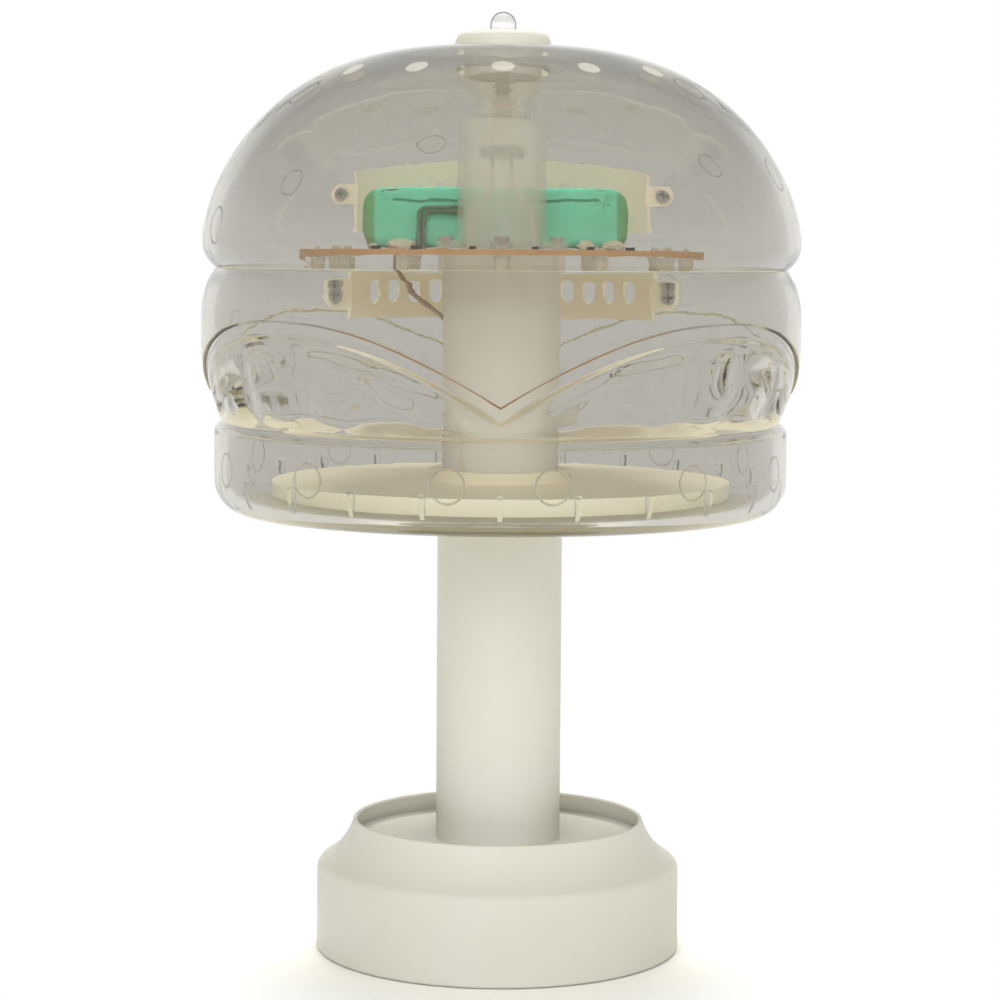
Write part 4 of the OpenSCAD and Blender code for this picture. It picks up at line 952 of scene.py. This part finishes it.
addPiece("pinMarks", makeRings(wallMarks), ["clearWell"])
# painted highlight: the dimples are pale and milky, standing in for the bright glints on them
addPiece("crownDimples", makeDimples(wallMarks), ["barrel"])

bandPosts = {
    "radius": 4.5,
    "upper": (62.3, 64.7, 277.6),  # side, start and height
    "lower": (64.5, 62.7, 236.0),
    "bite": 0.6,  # how far a post reaches into the wall
}


def makePosts(setup):
    topWall = topBunCurve(topBun, topBun["wellR"] + topBun["wellWall"])
    bm = bmesh.new()
    for name in ("upper", "lower"):
        side, startY, height = setup[name]
        for hand in (-1, 1):
            place = Matrix.Translation((hand * side * mm, startY * mm, height * mm))
            made = bmesh.ops.create_cone(
                bm, cap_ends=True, segments=48, radius1=setup["radius"] * mm, radius2=setup["radius"] * mm,
                depth=2 * mm, matrix=place @ Matrix.Rotation(-math.pi / 2, 4, "X"),
            )["verts"]
            for vert in made:
                if vert.co.y < startY * mm:
                    vert.co.y = startY * mm
                    continue
                z = vert.co.z / mm
                wallR = alongCurve(topWall, 1, z)[0] if name == "upper" else middleRadius(middleLayer, z)
                vert.co.y = math.sqrt((wallR - shellWall + setup["bite"]) ** 2 - (vert.co.x / mm) ** 2) * mm
    bmesh.ops.recalc_face_normals(bm, faces=bm.faces)
    return bm


addPiece("bandPosts", makePosts(bandPosts), ["clearWell"])
print("wall marks made")

# battery pack

packFilm = {
    "around": 220,
    "flatRows": 12,
    "roundRows": 6,
    "sideRows": 8,
    "middleShare": 0.02,  # the first row's share of the way out from the middle line
    "endRadius": 11.5,
    "rounding": 2.4,
    "squareTop": 0.68,  # 1 keeps the ends round, less squares them
    "squareBottom": 0.4,
    "cells": (-39.9, -14.9, 10.1, 35.1),
    "cellR": 11.2,
    "cellHollow": 0.55,  # how far the film sinks between the cells
    "cellBlend": 3,
    "frontReach": 4,  # the marks of the front fade out over this depth
    "puckers": ((-43.5, 274.6), (37.7, 273.6)),
    "puckerDepth": 0.5,
    "puckerReach": 4,
    "puckerFolds": 7,
    "waviness": 0.25,
    "waveScale": 0.12,
}


def makePackFilm(setup):
    low, high = [Vector(corner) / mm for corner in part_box("battery_wrap")]
    radius = setup["endRadius"]
    centerX, centerZ = (low.x + high.x) / 2, (low.z + high.z) / 2
    reach = (high.x - low.x) / 2 - radius
    rounding = setup["rounding"]
    # share of the way out from the middle line, and depth from the front
    flatRows, roundRows, sideRows = setup["flatRows"], setup["roundRows"], setup["sideRows"]
    first = setup["middleShare"]
    rows = [(first + (1 - first) * (1 - rounding / radius) * i / flatRows, 0) for i in range(flatRows + 1)]
    for i in range(1, roundRows + 1):
        turn = math.pi / 2 * i / roundRows
        rows.append((1 - rounding / radius * (1 - math.sin(turn)), rounding * (1 - math.cos(turn))))
    depth = high.y - low.y
    backRows = [(share, depth - y) for share, y in rows[::-1]]
    rows += [(1, rounding + (depth - 2 * rounding) * i / sideRows) for i in range(1, sideRows)] + backRows
    bm = bmesh.new()
    bmesh.ops.create_grid(bm, x_segments=setup["around"], y_segments=len(rows) - 1, size=0.5)
    straight = 4 * reach
    length = straight + math.tau * radius
    for vert in bm.verts:
        walk = (vert.co.x + 0.5) * length
        share, y = rows[round((vert.co.y + 0.5) * (len(rows) - 1))]
        if walk < 2 * reach:  # along the top, round the right end, back along the bottom, round the left end
            center, angle = walk - reach, math.pi / 2
        elif walk < 2 * reach + math.pi * radius:
            center, angle = reach, math.pi / 2 - (walk - 2 * reach) / radius
        elif walk < 4 * reach + math.pi * radius:
            center, angle = reach - (walk - 2 * reach - math.pi * radius), -math.pi / 2
        else:
            center, angle = -reach, -math.pi / 2 - (walk - 4 * reach - math.pi * radius) / radius
        across, up = math.cos(angle), math.sin(angle)
        squareness = setup["squareTop"] if up > 0 else setup["squareBottom"]
        across = math.copysign(abs(across) ** squareness, across)
        up = math.copysign(abs(up) ** squareness, up)
        x = centerX + center + share * radius * across
        z = centerZ + share * radius * up
        inFront = 1 - easeStep(y / setup["frontReach"])
        nearCell = min(math.hypot(x - cell, z - centerZ) for cell in setup["cells"])
        y += inFront * setup["cellHollow"] * easeStep((nearCell - setup["cellR"]) / setup["cellBlend"])
        for puckerX, puckerZ in setup["puckers"]:
            away = math.hypot(x - puckerX, z - puckerZ)
            swirl = math.cos(setup["puckerFolds"] * math.atan2(z - puckerZ, x - puckerX))
            y += inFront * setup["puckerDepth"] * math.exp(-away / setup["puckerReach"]) * (1 + swirl)
        y += inFront * setup["waviness"] * (1 + noise.noise(Vector((x, y, z)) * setup["waveScale"]))
        vert.co = Vector((x, low.y + y, z)) * mm
    bmesh.ops.remove_doubles(bm, verts=bm.verts, dist=0.02 * mm)
    bmesh.ops.holes_fill(bm, edges=[edge for edge in bm.edges if edge.is_boundary])
    bmesh.ops.recalc_face_normals(bm, faces=bm.faces)
    return bm


addPiece("packFilm", makePackFilm(packFilm), ["greenWrap"], sharp=50, replaced=("battery_wrap",))

# hot glue

glueSpots = {
    # place and half sizes of each lump
    "lumps": (
        ((-37, 14.6, 256.9), (5.6, 3.0, 1.9)), ((31, 14.8, 256.8), (3.2, 2.4, 1.7)),
        ((41, 15.2, 256.8), (4.2, 2.6, 1.6)), ((-47.5, 21, 256.7), (2.4, 3.2, 1.4)),
        ((-13.8, -17.2, 175.2), (2.0, 1.6, 1.4)),
    ),
    "roughness": 0.22,
    "roughScale": 2.3,
    "boardTop": 255.7,
    "trayTop": 173.0,
    "string": (
        (-13.7, -17.3, 174), (-13.2, -17.6, 178), (-14.3, -16.9, 181), (-13.4, -17.4, 184.5), (-14.2, -16.9, 188),
        (-13.6, -17.3, 191.5), (-14.4, -16.8, 194.5), (-13.9, -17.1, 198),
    ),
    "stringR": 0.45,
}


def makeGlue(setup):
    bm = bmesh.new()
    for place, size in setup["lumps"]:
        seat = setup["boardTop"] if place[2] > setup["boardTop"] else setup["trayTop"]
        made = bmesh.ops.create_icosphere(bm, subdivisions=4, radius=1)["verts"]
        for vert in made:
            vert.co *= 1 + setup["roughness"] * noise.noise(vert.co * setup["roughScale"] + Vector(place))
            vert.co = Vector([vert.co[i] * size[i] + place[i] for i in range(3)]) * mm
            vert.co.z = max(vert.co.z, seat * mm)
    return bm


def addThread(name, points, radius, finish):
    curve = bpy.data.curves.new(name, "CURVE")
    curve.dimensions = "3D"
    curve.bevel_depth = radius * mm
    curve.bevel_resolution = 3
    curve.use_fill_caps = True
    spline = curve.splines.new("NURBS")
    spline.points.add(len(points) - 1)
    for point, place in zip(spline.points, points):
        point.co = (place[0] * mm, place[1] * mm, place[2] * mm, 1)
    spline.order_u = 4
    spline.use_endpoint_u = True
    spline.resolution_u = 8
    curve.materials.append(materials[finish])
    thread = bpy.data.objects.new(name, curve)
    scene.collection.objects.link(thread)
    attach(thread, "lamp")


addPiece("glueLumps", makeGlue(glueSpots), ["glue"])
addThread("glueString", glueSpots["string"], glueSpots["stringR"], "glue")
print("pack and glue made")

# the spring under the button, built at its rest length; the real spring shortens as the button goes down

pressSpring = {
    "coilR": 3.5,
    "wireR": 0.3,
    "foot": 312.8,
    "head": 331.0,
    "turns": 6,
    "steps": 20,
    "sides": 8,
    "travel": 2.0,
}


def makeSpring(setup):
    bm = bmesh.new()
    count = setup["turns"] * setup["steps"]
    low, high = setup["foot"] + setup["wireR"], setup["head"] - setup["wireR"]
    rings = []
    for i in range(count + 1):
        turn = math.tau * i / setup["steps"]
        ring = []
        for k in range(setup["sides"]):
            around = math.tau * k / setup["sides"]
            r = setup["coilR"] + setup["wireR"] * math.cos(around)
            z = low + (high - low) * i / count + setup["wireR"] * math.sin(around)
            ring.append(bm.verts.new((r * math.cos(turn) * mm, r * math.sin(turn) * mm, z * mm)))
        rings.append(ring)
    for ring, after in zip(rings, rings[1:]):
        for k in range(setup["sides"]):
            other = (k + 1) % setup["sides"]
            bm.faces.new((ring[k], ring[other], after[other], after[k]))
    bm.faces.new(rings[0])
    bm.faces.new(rings[-1])
    bmesh.ops.recalc_face_normals(bm, faces=bm.faces)
    return bm


springPiece = addPiece(
    "pressSpring", makeSpring(pressSpring), ["steel"], sharp=60, replaced=("switch_spring",)
)
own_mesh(springPiece)
print("spring made")
